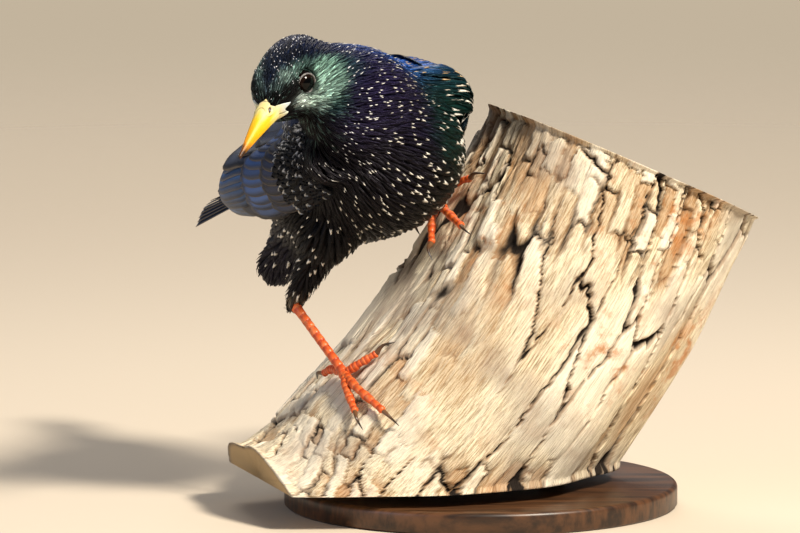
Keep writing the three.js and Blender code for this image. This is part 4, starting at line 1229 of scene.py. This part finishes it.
def bill_half(upper):
    """Half rings y = w cos, z = d sin along the bill. Its edge over
    the face follows bill_edge, laid on the skin."""
    t = np.linspace(0, 1, BILL_RINGS)[:, None]
    a = np.linspace(0, np.pi, BILL_SIDES)[None]
    sign = 1 if upper else -1

    def ring(x):
        along = np.clip((x - BILL_START + BILL_INSIDE) / (BILL_LENGTH + BILL_INSIDE), 0, 1)
        wide = (4.8 + (0.35 - 4.8) * along**0.94) * (1 if upper else 0.93)
        deep = 5.4 + (0.45 - 5.4) * along**1.1 if upper else 3.4 + (0.35 - 3.4) * along**0.95
        mouth = BILL_DROP - 0.35 * (1 - along) ** 3 - 1.0 * along**2.2 + sign * GAP / 2
        y = wide * np.sign(np.cos(a)) * np.abs(np.cos(a)) ** 0.9
        return y, mouth + sign * deep * np.sin(a), mouth + 0 * y

    y, z, _ = ring(BILL_START + 1 + 0 * a)
    x = bill_edge(y, z)
    x = x + t * (BILL_START + BILL_LENGTH - x)
    y, z, mouth = ring(x)
    nostril_shade = np.zeros_like(x)
    for side in SIDES if upper else ():
        u, v = x - NOSTRIL_X, z - NOSTRIL_Z + 0.3 * (x - NOSTRIL_X)
        near = (u / 1.15) ** 2 + (v / 0.5) ** 2
        hole = np.exp(-(near**2)) * (y * side > 0)
        rim = np.hypot((u + 0.3) / 2.1, (v - 0.1) / 1.15)
        swell = np.exp(-(((rim - 0.8) / 0.2) ** 2)) * (y * side > 0)
        groove = np.exp(-(((rim - 1.15) / 0.12) ** 2)) * (y * side > 0)
        y = y - side * (0.8 * hole - 0.3 * swell + 0.15 * groove)
        # The nostril and its groove are marked for painted shade.
        nostril_shade = np.maximum(nostril_shade, np.maximum(hole, 0.62 * groove))
    places = at(HEAD, x, y, z)
    n, d = slope(skin_distance, places)
    grow = eased(t, 0.0, 0.03) * (1 - eased(x, 17.5, 20))
    places = places + n * (np.maximum(0.4 - d, 0) * grow)[..., None]
    corner = np.stack([x, np.abs(y), z], -1) - GAPE_CORNER
    gape = np.exp(-((np.linalg.norm(corner, axis=-1) / 3.6) ** 2))
    uv = stacked(a / np.pi, t)
    back = slice(-2, 0, -1)
    floor = at(HEAD, x[:, back], y[:, back] * 0.94, mouth[:, back])
    rings = np.concatenate([places, floor], 1)
    uv = np.concatenate([uv, uv[:, back]], 1).reshape(-1, 2)
    values = {
        "nostril_shade": np.concatenate([nostril_shade, 0 * nostril_shade[:, back]], 1).ravel(),
        "gape": np.concatenate([gape, gape[:, back]], 1).ravel(),
    }
    places, faces = closed(rings)
    half = "upper" if upper else "lower"
    piece = mesh_piece(f"bill_{half}_horn", places, faces, BILL_HORN, uv=uv, values=values)
    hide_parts(f"bill_{half}")


for upper in (True, False):
    bill_half(upper)
print("bill done")

# %% [markdown]
# ## Eyes
# A starling's eye is dark brown with a round pupil that hardly shows, under a wet, clear cornea. It sits in
# a thin ring of bare, pale-edged lids. The ball is a grid of rings round the way it looks, so that iris and
# pupil follow it.


# %% Eyes
def eye_finish():
    """Wet dark iris and black pupil, told apart by the map's distance from the way the eye looks."""
    finish, add = new_finish("eye under cornea")
    around = add("y", add("map"))
    iris = add("mix", add("step", around, 0.17, 0.2), "#010101", "#160b06")
    iris = add("mix", add("step", around, 0.3, 0.4), iris, "#080504")
    wet = {"Roughness": 0.12, "Specular IOR Level": 0.12, "Coat Weight": 0.12, "Coat Roughness": 0.02}
    return surfaced(finish, {"Base Color": iris, **wet})


def lid_finish():
    """Bare, finely creased lid edge, paler where it is worn by blinking."""
    finish, add = new_finish("bare lid")
    cloud = add("noise", add("object"), 2200.0, 2.0)
    return surfaced(finish, {
        "Base Color": add("mix", add("step", cloud, 0.4, 0.6), "#57545a", "#86827f"),
        "Roughness": 0.5,
        "Normal": add("bump", 0.5, 0.0001, cloud),
    })


EYE_WET, LID = eye_finish(), lid_finish()
EYE_RINGS, EYE_SIDES = 40, 48
LID_RINGS, LID_SIDES = 72, 14


def look_axes(side):
    """Two directions at right angles to the way an eye looks."""
    look = eye_look(side)
    up = HEAD["axes"][2] - look * (HEAD["axes"][2] @ look)
    up /= np.linalg.norm(up)
    return look, up, np.cross(look, up)


def eye_ball(side):
    """Rings at angle v from the way the eye looks, with a cornea that bulges by 0.15 mm near it."""
    look, up, over = look_axes(side)
    v = np.linspace(0.004, np.pi - 0.004, EYE_RINGS)[:, None]
    u = full_turn(EYE_SIDES)[None]
    r = (EYE_RADIUS + 0.15 * np.exp(-((v / 0.55) ** 2)))[..., None]
    ring = np.sin(v)[..., None] * (np.cos(u)[..., None] * up + np.sin(u)[..., None] * over)
    places, faces = closed(eye_centre(side) + r * (ring + np.cos(v)[..., None] * look))
    uv = stacked(u / (2 * np.pi), v / np.pi).reshape(-1, 2)
    piece = mesh_piece(f"eyeball_{SIDES[side]}", places, faces, EYE_WET, uv=uv)
    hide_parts(f"eye_{SIDES[side]}")


def lid_ring(side):
    """A thin ring round the eye, a little longer to the front, with tiny folds."""
    look, up, over = look_axes(side)
    u = full_turn(LID_RINGS)[:, None]
    v = full_turn(LID_SIDES)[None]
    folds = 1 + 0.12 * np.cos(18 * u)
    radius = 3.08 + 0.26 * folds * np.cos(v) + 0.08 * np.cos(2 * u)
    height = 2.3 + 0.28 * folds * np.sin(v)
    ring = np.cos(u)[..., None] * up + np.sin(u)[..., None] * over
    places = (eye_centre(side) + radius[..., None] * ring + height[..., None] * look).reshape(-1, 3)
    i, j = np.indices((LID_RINGS, LID_SIDES))
    corners = ((i, j), (i, j + 1), (i + 1, j + 1), (i + 1, j))
    faces = np.stack([(a % LID_RINGS) * LID_SIDES + b % LID_SIDES for a, b in corners], -1).reshape(-1, 4)
    return mesh_piece(f"lids_{SIDES[side]}", places, outward(places, faces), LID)


for side in SIDES:
    eye_ball(side)
    lid_ring(side)
print("eyes done")

# %% [markdown]
# ## Limb
# The perch is a length of dead limb that has lost its bark: pale, dry wood with long cracks along the
# grain, raised flakes between them and rusty stains. The surface is a radius for each place along the limb
# and each angle round it, so ridges, cracks and flakes are all sums in one array. Its ends are sawn and its
# foot is cut level.

# %% Limb line and surface
LIMB_RADIUS = 45.0
LIMB_FOOT = 11.0
LIMB_POINTS = np.array([
    [-88, -28, -30], [-44, -15, -12], [-20.4, -6.8, 9], [17, 3.1, 56], [41, 13.3, 99.4], [52, 17, 126],
], float)
LIMB_ACROSS = np.array([0.84, 0.1, -0.53])
# Low ridges round the limb: how many, their share of the radius, where they start and how they wind.
RIDGES = [(3, 0.035, 0.4, 0.4), (5, 0.028, 2.1, -0.7), (9, 0.012, 0.9, 1.1)]


def through(points, t):
    """A smooth line through points (centripetal Catmull-Rom), at shares t of the row of points."""
    points = np.vstack([2 * points[0] - points[1], points, 2 * points[-1] - points[-2]])
    t = np.atleast_1d(np.asarray(t, float)) * (len(points) - 3)
    i = np.clip(t.astype(int), 0, len(points) - 4)
    w = (t - i)[:, None]
    p0, p1, p2, p3 = (points[i + k] for k in range(4))
    gaps = (p1 - p0, p2 - p1, p3 - p2)
    d0, d1, d2 = (lengths(gap) ** 0.5 for gap in gaps)
    m1 = d1 * ((p1 - p0) / d0 - (p2 - p0) / (d0 + d1) + (p2 - p1) / d1)
    m2 = d1 * ((p2 - p1) / d1 - (p3 - p1) / (d1 + d2) + (p3 - p2) / d2)
    return p1 + m1 * w + (3 * (p2 - p1) - 2 * m1 - m2) * w**2 + (2 * (p1 - p2) + m1 + m2) * w**3


def limb_frame(t):
    """Centre, direction and two cross directions of the limb at shares t."""
    t = np.atleast_1d(t)
    centre = through(LIMB_POINTS, np.clip(t, 0, 1))
    before, after = (through(LIMB_POINTS, np.clip(t + step, 0, 1)) for step in (-1e-4, 1e-4))
    along = after - before
    along /= lengths(along)
    side = LIMB_ACROSS - along * (along @ LIMB_ACROSS)[:, None]
    side /= lengths(side)
    return centre, along, side, np.cross(along, side)


def limb_place(t, angle, lift):
    """The limb's surface at shares t and angles round it, raised by lift."""
    shape = np.broadcast(t, angle, lift).shape
    t, angle, lift = (np.broadcast_to(v, shape).ravel() for v in (t, angle, lift))
    centre, _, side, toward = limb_frame(t)
    ridges = sum(size * np.sin(n * angle + phase + twist * 4 * t) for n, size, phase, twist in RIDGES)
    r = LIMB_RADIUS * (1 + ridges) + lift
    places = centre + side * (r * np.cos(angle))[:, None] + toward * (r * np.sin(angle))[:, None]
    return places.reshape(shape + (3,))


# The nearest place is found in this many steps, each the distance still to go over this many mm.
NEAREST_PASSES, NEAREST_PACE = 40, 600


def onto_limb(p, lift):
    """The place on the limb's surface, raised by lift, that lies nearest a place outside it."""
    t = 0.6
    for _ in range(NEAREST_PASSES):
        centre, along, _, _ = limb_frame(t)
        t = float(np.clip(t + (p - centre[0]) @ along[0] / NEAREST_PACE, 0, 1))
    centre, _, side, toward = limb_frame(t)
    d = p - centre[0]
    return limb_place(t, math.atan2(d @ toward[0], d @ side[0]), lift).reshape(3)


def drifts(u, v, across, along, seed):
    """Smooth random heights from -1 to 1 on a lattice of across cells round and along cells lengthwise."""
    table = np.random.default_rng(seed).uniform(-1, 1, (across, along + 2))
    x, y = u * across, np.clip(v, 0, 0.9999) * along
    i, j = np.floor(x).astype(int), np.floor(y).astype(int)
    fx, fy = eased(x - i, 0, 1), eased(y - j, 0, 1)
    low, high = (table[i % across, k] * (1 - fx) + table[(i + 1) % across, k] * fx for k in (j, j + 1))
    return low * (1 - fy) + high * fy


def plates(u, v, across, along, seed):
    """Broken plates: how far a place is from its plate's edge, in
    cells, and the plate's own number from 0 to 1."""
    table = np.random.default_rng(seed).random((across, along + 2, 3))
    x, y = (u % 1) * across, v * along
    i, j = np.floor(x).astype(int), np.floor(y).astype(int)
    best, second, number = np.full(x.shape, 9.0), np.full(x.shape, 9.0), np.zeros(x.shape)
    for di in (-1, 0, 1):
        for dj in (-1, 0, 1):
            cell = table[(i + di) % across, np.clip(j + dj, 0, along + 1)]
            far = np.hypot(i + di + cell[..., 0] - x, j + dj + cell[..., 1] - y)
            closer = far < best
            second = np.where(closer, best, np.minimum(second, far))
            number = np.where(closer, cell[..., 2], number)
            best = np.minimum(best, far)
    return second - best, number


def checks(u, v, across, along, seed):
    """Square-ended checks in rows along the grain: each row has its
    own length and start. Gives edge and number."""
    table = np.random.default_rng(seed).random((across, 40))
    x = (u % 1) * across
    i = np.floor(x).astype(int) % across
    y = v * along * (0.6 + 0.8 * table[i, 0]) + 9 * table[i, 1]
    j = np.floor(y).astype(int)
    sides = np.minimum(x - np.floor(x), np.ceil(x) - x)
    ends = np.minimum(y - j, j + 1 - y) * across / along * 0.7
    return np.minimum(sides, ends), table[i, 2 + j % 38]


def wood_relief(u, v):
    """Heights in mm: broad dents, plates parted by cracks, and
    grain. Also crack depth and each place's tone."""
    jag = 0.0028 * drifts(u, v, 70, 40, 3) + 0.0016 * drifts(u, v, 160, 140, 16)
    twist = u + 0.1 * v + 0.012 * drifts(u, v, 9, 6, 2) + jag
    broad = 1.0 * drifts(twist, v, 8, 5, 4) + 0.45 * drifts(twist, v, 24, 12, 5)
    uneven = v + 0.008 * drifts(u, v, 120, 40, 17) + 0.004 * drifts(u, v, 240, 90, 22)
    edge, number = plates(twist, uneven, 28, 5, 6)
    open_here = eased(drifts(twist, v, 11, 6, 9) + 0.4 * drifts(twist, v, 30, 14, 19), -0.6, 0.1)
    width = 0.04 + 0.09 * eased(drifts(twist, v, 18, 8, 18), 0.0, 0.9)
    long_crack = np.exp(-((edge / width) ** 2)) * open_here
    small_edge, small_number = checks(twist, uneven, 62, 16, 10)
    broken = eased(drifts(twist, v, 9, 5, 12) + 0.4 * drifts(twist, v, 26, 12, 21), -0.35, 0.15)
    shut = 0.25 + 0.75 * eased(drifts(twist, v, 60, 16, 23), -0.3, 0.5)
    small_crack = np.exp(-((small_edge / 0.12) ** 2)) * broken * shut
    crack = np.maximum(long_crack, 0.75 * small_crack)
    step = 1.3 * (number - 0.5) * open_here + 1.5 * (small_number - 0.5) * broken
    grain = 0.35 * drifts(twist, v, 110, 7, 14) + 0.2 * drifts(twist, v, 220, 18, 15)
    tone = 0.52 + 0.4 * (number - 0.5) * open_here + 0.7 * (small_number - 0.5) * broken
    tone = np.clip(tone + 0.3 * broad, 0, 1)
    return 0.6 * broad - 1.25 + step + grain - 2.4 * crack, crack, tone


# Each cut is a plane, as a point on it and its direction: the level foot, the sawn lower end and the sawn
# top.
LIMB_CUTS = [
    (np.array([0.0, 0, LIMB_FOOT]), np.array([0.0, 0, 1])),
    (np.array([-55.0, -17, -17]), limb_frame(0.16)[1][0]),
]
LIMB_TOP = (np.array([43.0, 14, 104]), limb_frame(0.85)[1][0])
print("limb radius in mm:", LIMB_RADIUS)


# %% Limb mesh
HALVINGS = 22


def crossing(angle, low, high, beyond):
    """For each angle, two shares of the limb just before and past
    the one where beyond turns true, by halving."""
    low, high = np.full_like(angle, low), np.full_like(angle, high)
    for _ in range(HALVINGS):
        t = (low + high) / 2
        past = beyond(limb_place(t, angle, 0))
        low, high = np.where(past, low, t), np.where(past, t, high)
    return low, high


def limb_range(angle):
    """For each angle, the share where the surface rises out of the
    two lower cuts, and where it meets the top cut."""
    def over(p, cuts):
        return np.min([(p - point) @ way for point, way in cuts], axis=0) > 0

    start = crossing(angle, 0, 0.7, lambda p: over(p, LIMB_CUTS))
    end = crossing(angle, 0.5, 1, lambda p: over(p, [LIMB_TOP]))
    return start[1], end[0]


def limb_mesh(rows=190, sides=440, rim_rows=9):
    """Side surface with relief, which fades at the sawn ends, and
    an end face of shrinking rings at each end."""
    angle = full_turn(sides)
    start, end = limb_range(angle)
    share = np.linspace(0, 1, rows)[:, None]
    t = start + (end - start) * share
    relief, crack, tone = wood_relief(np.broadcast_to(angle / (2 * np.pi), t.shape), t)
    smooth = limb_place(t, angle[None], 0)
    for foot in BALLS.values():
        held = 1 - eased(np.linalg.norm(smooth - foot, axis=-1), 12, 22)
        relief = relief * (1 - held) + np.minimum(relief * 0.35, 0.0) * held
    calm = eased(share, 0, 0.02) * eased(1 - share, 0, 0.02)
    places = limb_place(t, angle[None], relief * calm - 0.2)
    shrink = np.linspace(1, 0.02, rim_rows)[1:, None, None]
    end_point, end_way = LIMB_CUTS[1]
    level_way = end_way * [1, 1, 0]
    foot_middle = np.array([-66.0, -17, LIMB_FOOT])
    foot_middle = foot_middle - level_way * ((foot_middle - end_point) @ end_way) / (level_way @ end_way)
    lower = foot_middle + (places[0] - foot_middle) * shrink
    top_middle = places[-1].mean(0)
    upper = top_middle + (places[-1] - top_middle) * shrink
    ring = np.concatenate([lower[::-1], places, upper], 0)
    none, full = np.zeros((len(shrink), sides)), np.ones((len(shrink), sides))
    kind = np.concatenate([full, np.zeros((rows, sides)), full])
    pith = np.concatenate([shrink[::-1, :, 0] + none, np.ones((rows, sides)), shrink[..., 0] + none])
    tone, depth = (np.concatenate([none, value, none]) for value in (tone, crack))
    round_limb = angle[None] * LIMB_RADIUS / 100
    uv = stacked(round_limb, np.concatenate([none, t, full]) * 2.6)
    places, faces = closed(ring)
    piece = mesh_piece(
        "limb", places, faces, LIMB_WOOD, uv=uv.reshape(-1, 2),
        values={"crack": depth.ravel(), "sawn": kind.ravel(), "tone": tone.ravel(), "pith": pith.ravel()},
    )
    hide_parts("perch")
    return piece


def limb_finish():
    """Sun-bleached dead wood: cream ridges, grey and rusty drifts along the grain, brown crack edges, and
    painted shade, near black, deep in the cracks.
    """
    finish, add = new_finish("weathered dead wood")
    lay, place = add("map"), add("object")
    crack, sawn, tone, pith = (add("mark", attribute_name=name) for name in ("crack", "sawn", "tone", "pith"))
    streak = add("noise", add("stretch", lay, (90.0, 7.0, 1.0)), 2.2, 10.0, 0.75)
    broad = add("noise", place, 30.0, 5.0)
    rust = add("noise", place, 60.0, 7.0, 0.65)
    wood = add("mix", add("step", streak, 0.4, 0.56), "#a99270", "#f0e2c4")
    for factor, colour in (
        (add("step", tone, 0.3, 0.7, 0.0, 0.65), "#faf3e2"),
        (add("step", tone, 0.38, 0.2, 0.0, 0.6), "#a87a4c"),
        (add("step", broad, 0.5, 0.68, 0.0, 0.6), "#9b948a"),
        (add("times", add("step", rust, 0.5, 0.62), add("step", broad, 0.6, 0.42, 0.1, 0.85)), "#bb7638"),
        (add("step", crack, 0.04, 0.3, 0.0, 0.55), "#7a5634"),
        # Painted shade: near black deep in the cracks.
        (add("step", crack, 0.3, 0.8), "#1e1610"),
    ):
        wood = add("mix", factor, wood, colour)
    year = add("times", add("line", add("noise", place, 22.0, 3.0), 0.16, pith), 210.0)
    year = add("line", add("sine", year), 0.5, 0.5)
    cut = add("mix", add("times", year, 0.6), "#cfb488", "#a98a5e")
    cut = add("mix", add("step", rust, 0.45, 0.7, 0.0, 0.4), cut, "#8f7350")
    fibre = add("noise", add("stretch", lay, (260.0, 14.0, 1.0)), 1.0, 6.0)
    return surfaced(finish, {
        "Base Color": add("mix", sawn, wood, cut),
        "Roughness": 0.85,
        "Specular IOR Level": 0.25,
        "Normal": add("bump", 1.0, 0.0009, fibre),
    })


LIMB_WOOD = limb_finish()
limb = limb_mesh()
print("limb triangles:", 2 * len(limb.data.polygons))

# %% [markdown]
# ## Legs and feet
# The shank and toes are bare and covered with horny scutes, wide plates in a row down the front. Each is a
# tube along a smooth line whose radius steps at every scute. Toes have pads that swell at the joints, and
# end in hooked claws.

# %% Leg lines
TOE_RADIUS = 1.35
TOES = {
    "right": {
        "inner": [(-39, -33, 39), (-35.5, -38, 31)],
        "middle": [(-34, -32, 37), (-26, -36, 30)],
        "outer": [(-34, -27, 44), (-27.5, -27, 47)],
        "hind": [(-46, -22, 46), (-49, -16, 44)],
    },
    "left": {
        "inner": [(-16, -5, 89), (-16.5, -13, 83)],
        "middle": [(-10, -7, 91), (-4.2, -20, 87)],
        "outer": [(-8, -2, 98), (-1, -7, 100)],
        "hind": [(-19, 13, 89), (-21, 20, 85)],
    },
}


def toe_line(side, toe):
    """Ball of the foot, a point near the toe's middle and its end, all resting on the limb."""
    middle, end = (np.array(p, float) for p in TOES[side][toe])
    ball = onto_limb(BALLS[side], TOE_RADIUS + 0.5)
    return np.array([ball, onto_limb(middle, TOE_RADIUS + 0.9), onto_limb(end, TOE_RADIUS * 0.8 + GAP)])


def even_line(points, count):
    """The smooth line through points, at equal steps of its length."""
    fine = through(points, np.linspace(0, 1, 200))
    run = np.concatenate([[0], np.cumsum(np.linalg.norm(np.diff(fine, axis=0), axis=-1))])
    wanted = np.linspace(0, run[-1], count)
    return np.stack([np.interp(wanted, run, fine[:, k]) for k in range(3)], -1)


def tube_on(points, radius, up, rings=60, sides=20):
    """A tube along a line. radius(t, angle) may differ round it,
    with angle 0 on the side that up points to."""
    line = even_line(points, rings)
    along = np.gradient(line, axis=0)
    along /= lengths(along)
    top = up - along * np.sum(along * up, -1, keepdims=True)
    top /= lengths(top)
    side = np.cross(along, top)
    t = np.linspace(0, 1, rings)[:, None]
    angle = full_turn(sides)[None]
    r = radius(t, angle)[..., None]
    places = line[:, None] + top[:, None] * r * np.cos(angle)[..., None]
    places = places + side[:, None] * r * np.sin(angle)[..., None]
    uv = stacked(angle / (2 * np.pi), t).reshape(-1, 2)
    return (*closed(places), uv)


def scutes(t, angle, count, height):
    """Plates in a row: each rises to its lower edge and steps back, fading towards the underside."""
    saw = (t * count) % 1
    front = 0.5 + 0.5 * np.cos(angle)
    return height * (eased(saw, 0, 0.8) - eased(saw, 0.86, 1.0)) * (0.25 + 0.75 * front)


def closed_ends(t, sharp=0.03):
    """Rounds a tube's ends: the root of 1 - x^2 over a short stretch."""
    x = np.maximum(1 - t / sharp, 1 - (1 - t) / sharp)
    return np.sqrt(np.clip(1 - np.clip(x, 0, 1) ** 2, 0.01, 1))


# %% Leg finishes
def leg_finish():
    """Reddish orange skin, darker at the root of each scute and paler towards its raised lower edge, with
    pale patches of painted highlight.
    """
    finish, add = new_finish("scaled leg skin")
    place = add("object")
    skin = add("mix", add("step", add("mark", attribute_name="scute"), 0.0, 0.9), "#ad3a12", "#dc6228")
    # Painted highlight: pale tan patches scattered by noise.
    cloud = add("step", add("noise", place, 500.0, 4.0), 0.45, 0.75, 0.0, 0.4)
    return surfaced(finish, {
        "Base Color": add("mix", cloud, skin, "#d69a62"),
        "Roughness": 0.42,
        "Subsurface Weight": 0.1,
        "Subsurface Radius": (0.001, 0.0004, 0.0002),
        "Normal": add("bump", 0.35, 0.0001, add("cells", place, 2200.0)),
    })


def claw_finish():
    """Smooth horn, brown at the root and darker towards the tip."""
    finish, add = new_finish("claw horn")
    horn = add("mix", add("step", add("y", add("map")), 0.1, 0.8), "#6b4a30", "#1d1512")
    return surfaced(finish, {"Base Color": horn, "Roughness": 0.3})


LEG_SKIN, CLAW_HORN = leg_finish(), claw_finish()
SHANK_RINGS, SHANK_SIDES, SHANK_SCUTES = 150, 24, 11
TOE_RINGS, TOE_SIDES, TOE_SCUTES = 90, 18, 9
SCUTE_HEIGHT = 0.16
KNUCKLE_RADIUS = 2.0
KNUCKLE_RINGS = 18


# %% Legs
def scute_share(rings, sides, count):
    """How far up its scute each place of a tube lies, from 0 to 1."""
    return (np.repeat(np.linspace(0, 1, rings), sides) * count) % 1


def leg(side):
    """Shank with front scutes, ball of the foot and four toes as one skin, and a claw on each toe."""
    ball = onto_limb(BALLS[side], TOE_RADIUS + 0.5)
    ankle = ANKLES[side]
    front = np.array([0.2, -1, 0.4]) if side == "right" else TORSO["axes"][0] + TORSO["axes"][1]

    def shank_radius(t, angle):
        knob = 1 + 0.45 * (1 - eased(t, 0, 0.16)) + 0.12 * eased(t, 0.8, 1)
        blade = 1 + 0.1 * np.cos(2 * angle)
        plates_up = scutes(t + 0.012 * np.sin(21 * t), angle, SHANK_SCUTES, SCUTE_HEIGHT)
        return (1.42 * knob * blade + plates_up) * closed_ends(t)

    points = np.array([ankle, ankle + (ball - ankle) * 0.5, ball])
    places, faces, uv = tube_on(points, shank_radius, front, SHANK_RINGS, SHANK_SIDES)
    values = {"scute": scute_share(SHANK_RINGS, SHANK_SIDES, SHANK_SCUTES)}
    shank = mesh_piece(f"shank_skin_{side}", places, faces, LEG_SKIN, uv=uv, values=values)
    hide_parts(f"shank_{side}")
    parts, marks = [], []
    for toe in TOES[side]:
        line = toe_line(side, toe)
        out = line[1] - onto_limb(line[1], 0)

        def toe_radius(t, angle):
            pads = 0.16 * np.cos(t * 6 * np.pi) * (0.4 + 0.6 * (np.cos(angle) < 0))
            thick = TOE_RADIUS * (1.06 - 0.3 * t + pads) + scutes(t, angle, TOE_SCUTES, SCUTE_HEIGHT)
            return thick * closed_ends(t, 0.06)

        parts.append(tube_on(line, toe_radius, out, TOE_RINGS, TOE_SIDES)[:2])
        marks.append(scute_share(TOE_RINGS, TOE_SIDES, TOE_SCUTES))
        claw(side, toe, line, out)
    v = np.linspace(0.02, np.pi - 0.02, KNUCKLE_RINGS)[:, None]
    u = full_turn(SHANK_SIDES)[None]
    sphere = stacked(np.sin(v) * np.cos(u), np.sin(v) * np.sin(u), np.cos(v))
    parts.append(closed(ball + KNUCKLE_RADIUS * sphere))
    marks.append(np.full(v.size * u.size, 0.5))
    places, faces = joined(parts)
    values = {"scute": np.concatenate(marks)}
    foot = mesh_piece(f"foot_skin_{side}", places, faces, LEG_SKIN, values=values)
    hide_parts(f"foot_{side}")


def claw(side, toe, line, out):
    """A hooked, laterally flattened claw from the toe's end to a point on the wood."""
    ahead = (line[2] - line[1]) / np.linalg.norm(line[2] - line[1])
    tip = onto_limb(line[2] + ahead * 6.5, 0.15 + GAP)
    up = out / np.linalg.norm(out)
    start = line[2] - ahead * 0.4
    arch = (start + tip) / 2 + up * 1.45

    def radius(t, angle):
        return (1.0 + (0.1 - 1.0) * t) * (1 - 0.22 * np.abs(np.sin(angle))) * closed_ends(t, 0.05)

    places, faces, uv = tube_on(np.array([start, arch, tip]), radius, up, 36, 14)
    piece = mesh_piece(f"claw_horn_{side}_{toe}", places, faces, CLAW_HORN, uv=uv)
    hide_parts(f"claw_{side}_{toe}")


for side in SIDES.values():
    leg(side)
print("legs done")

# %% [markdown]
# ## Stand
# A turned base of dark, oiled walnut and two steel rods carry the limb. Both are profiles spun round an
# axis. The base has a small bevel at its top edge, as a lathe leaves it, and a shadow gap under its rim.


# %% Stand
def spun(profile, centre, sides=160):
    """A profile of (radius, height) carried round an upright axis, closed at both ends."""
    profile = np.array(profile, float)
    angle = full_turn(sides)[None]
    r, z = profile[:, :1], profile[:, 1:]
    x, y = centre[0] + r * np.cos(angle), centre[1] + r * np.sin(angle)
    return closed(stacked(x, y, z))


def walnut_finish():
    """Oiled walnut: dark brown with long, slightly wavy figure across the disc."""
    finish, add = new_finish("oiled walnut")
    figure = add("noise", add("stretch", add("object"), (30.0, 420.0, 120.0)), 1.0, 7.0, 0.6)
    return surfaced(finish, {
        "Base Color": add("mix", add("step", figure, 0.35, 0.65), "#24160d", "#5a3a22"),
        "Roughness": 0.38,
        "Normal": add("bump", 0.2, 0.0002, figure),
    })


def steel_finish():
    """Brushed steel rod, with fine lines round it."""
    finish, add = new_finish("brushed steel")
    lines = add("noise", add("stretch", add("object"), (60.0, 60.0, 9000.0)), 1.0, 3.0)
    rough = add("step", lines, 0.3, 0.7, 0.22, 0.38)
    return surfaced(finish, {"Base Color": "#a8abb0", "Metallic": 1.0, "Roughness": rough})


WALNUT, STEEL = walnut_finish(), steel_finish()
BASE_RADIUS, BASE_HEIGHT, BEVEL = 60.0, 7.0, 1.5
RODS = [(-22, -6), (22, 6)]
ROD_RADIUS, ROD_DEEP = 4, 9


def stand():
    """The base with a bevelled rim, and the rods between it and the limb."""
    turn = np.linspace(0, np.pi / 2, 7)
    inner, lower = BASE_RADIUS - BEVEL, BASE_HEIGHT - BEVEL
    rim = [(inner + BEVEL * math.cos(a), lower + BEVEL * math.sin(a)) for a in turn]
    foot = [(0.3, 0), (BASE_RADIUS - 0.8, 0), (BASE_RADIUS, 0.8)]
    places, faces = spun(foot + rim + [(BASE_RADIUS * 0.5, BASE_HEIGHT), (0.3, BASE_HEIGHT)], (0, 0))
    base = mesh_piece("base_walnut", places, faces, WALNUT)
    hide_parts("stand_base")
    low, high = BASE_HEIGHT + GAP, LIMB_FOOT + ROD_DEEP
    for i, rod in enumerate(RODS):
        places, faces = spun([(0.2, low), (ROD_RADIUS, low), (ROD_RADIUS, high), (0.2, high)], rod, 48)
        piece = mesh_piece(f"rod_steel_{i + 1}", places, faces, STEEL)
        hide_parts(f"stand_rod_{i + 1}")


stand()
print("stand done")

# %% [markdown]
# ## Floor and light
# A pale floor fades into a plain, warm backdrop colour, so no horizon cuts the picture. The light is one
# broad lamp high at the right front, as a low sun through thin cloud, with weak ones from the left and from
# behind.


# %% Floor
FLOOR_LOW, FLOOR_DEEP = -0.02, -1
FLOOR_RADII = (0.5, 400, 1500, 6000)


def studio_floor():
    """A disc whose colour melts into the backdrop's towards its rim, by Object coordinates."""
    top = [(radius, FLOOR_LOW) for radius in FLOOR_RADII]
    places, faces = spun(top + [(FLOOR_RADII[-1], FLOOR_DEEP), (FLOOR_RADII[0], FLOOR_DEEP)], (0, 0), 96)
    finish, add = new_finish("pale studio floor")
    surfaced(finish, {"Base Color": "#d3c7b6", "Roughness": 0.9})
    nodes = finish.node_tree.nodes
    away = add("step", add("length", add("object")), 0.25, 1.4)
    fill(nodes["Material Output"], {0: add("fade", away, nodes["Principled BSDF"].outputs[0], add("clear"))})
    mesh = bpy.data.meshes.new("floor")
    mesh.from_pydata((places * MM).tolist(), [], faces.tolist())
    mesh.materials.append(finish)
    floor = bpy.data.objects.new("floor", mesh)
    bpy.context.scene.collection.objects.link(floor)


studio_floor()


# %% Light
def lamp(name, place, size, power, colour):
    """A square area lamp that looks at the bird."""
    data = bpy.data.lights.new(name, "AREA")
    data.size = size
    data.energy = power
    data.color = linear(colour)
    made = bpy.data.objects.new(name, data)
    made.location = place
    aim = Vector(BODY_CENTRE * MM) - Vector(place)
    made.rotation_euler = aim.to_track_quat("-Z", "Y").to_euler()
    bpy.context.scene.collection.objects.link(made)


def light_studio():
    """Key, fill, rim and a plain world whose seen colour is the backdrop."""
    lamp("key", (0.75, -0.9, 1.25), 0.28, 50, "#fff4e2")
    lamp("fill", (-1.2, -0.8, 0.5), 0.9, 5, "#dfe8ff")
    lamp("rim", (-0.2, 1.1, 1.0), 0.6, 8, "#fff6ea")
    world = bpy.data.worlds.new("backdrop")
    bpy.context.scene.world = world
    world.use_nodes = True
    add = partial(add_node, world.node_tree)
    seen = add("seen")
    colour, strength = add("mix", seen, "#d9dce2", "#c3b49d"), add("step", seen, 0.0, 1.0, 0.21, 1.0)
    fill(world.node_tree.nodes["Background"], {0: colour, 1: strength})


light_studio()
bpy.context.scene.view_settings.view_transform = "Standard"
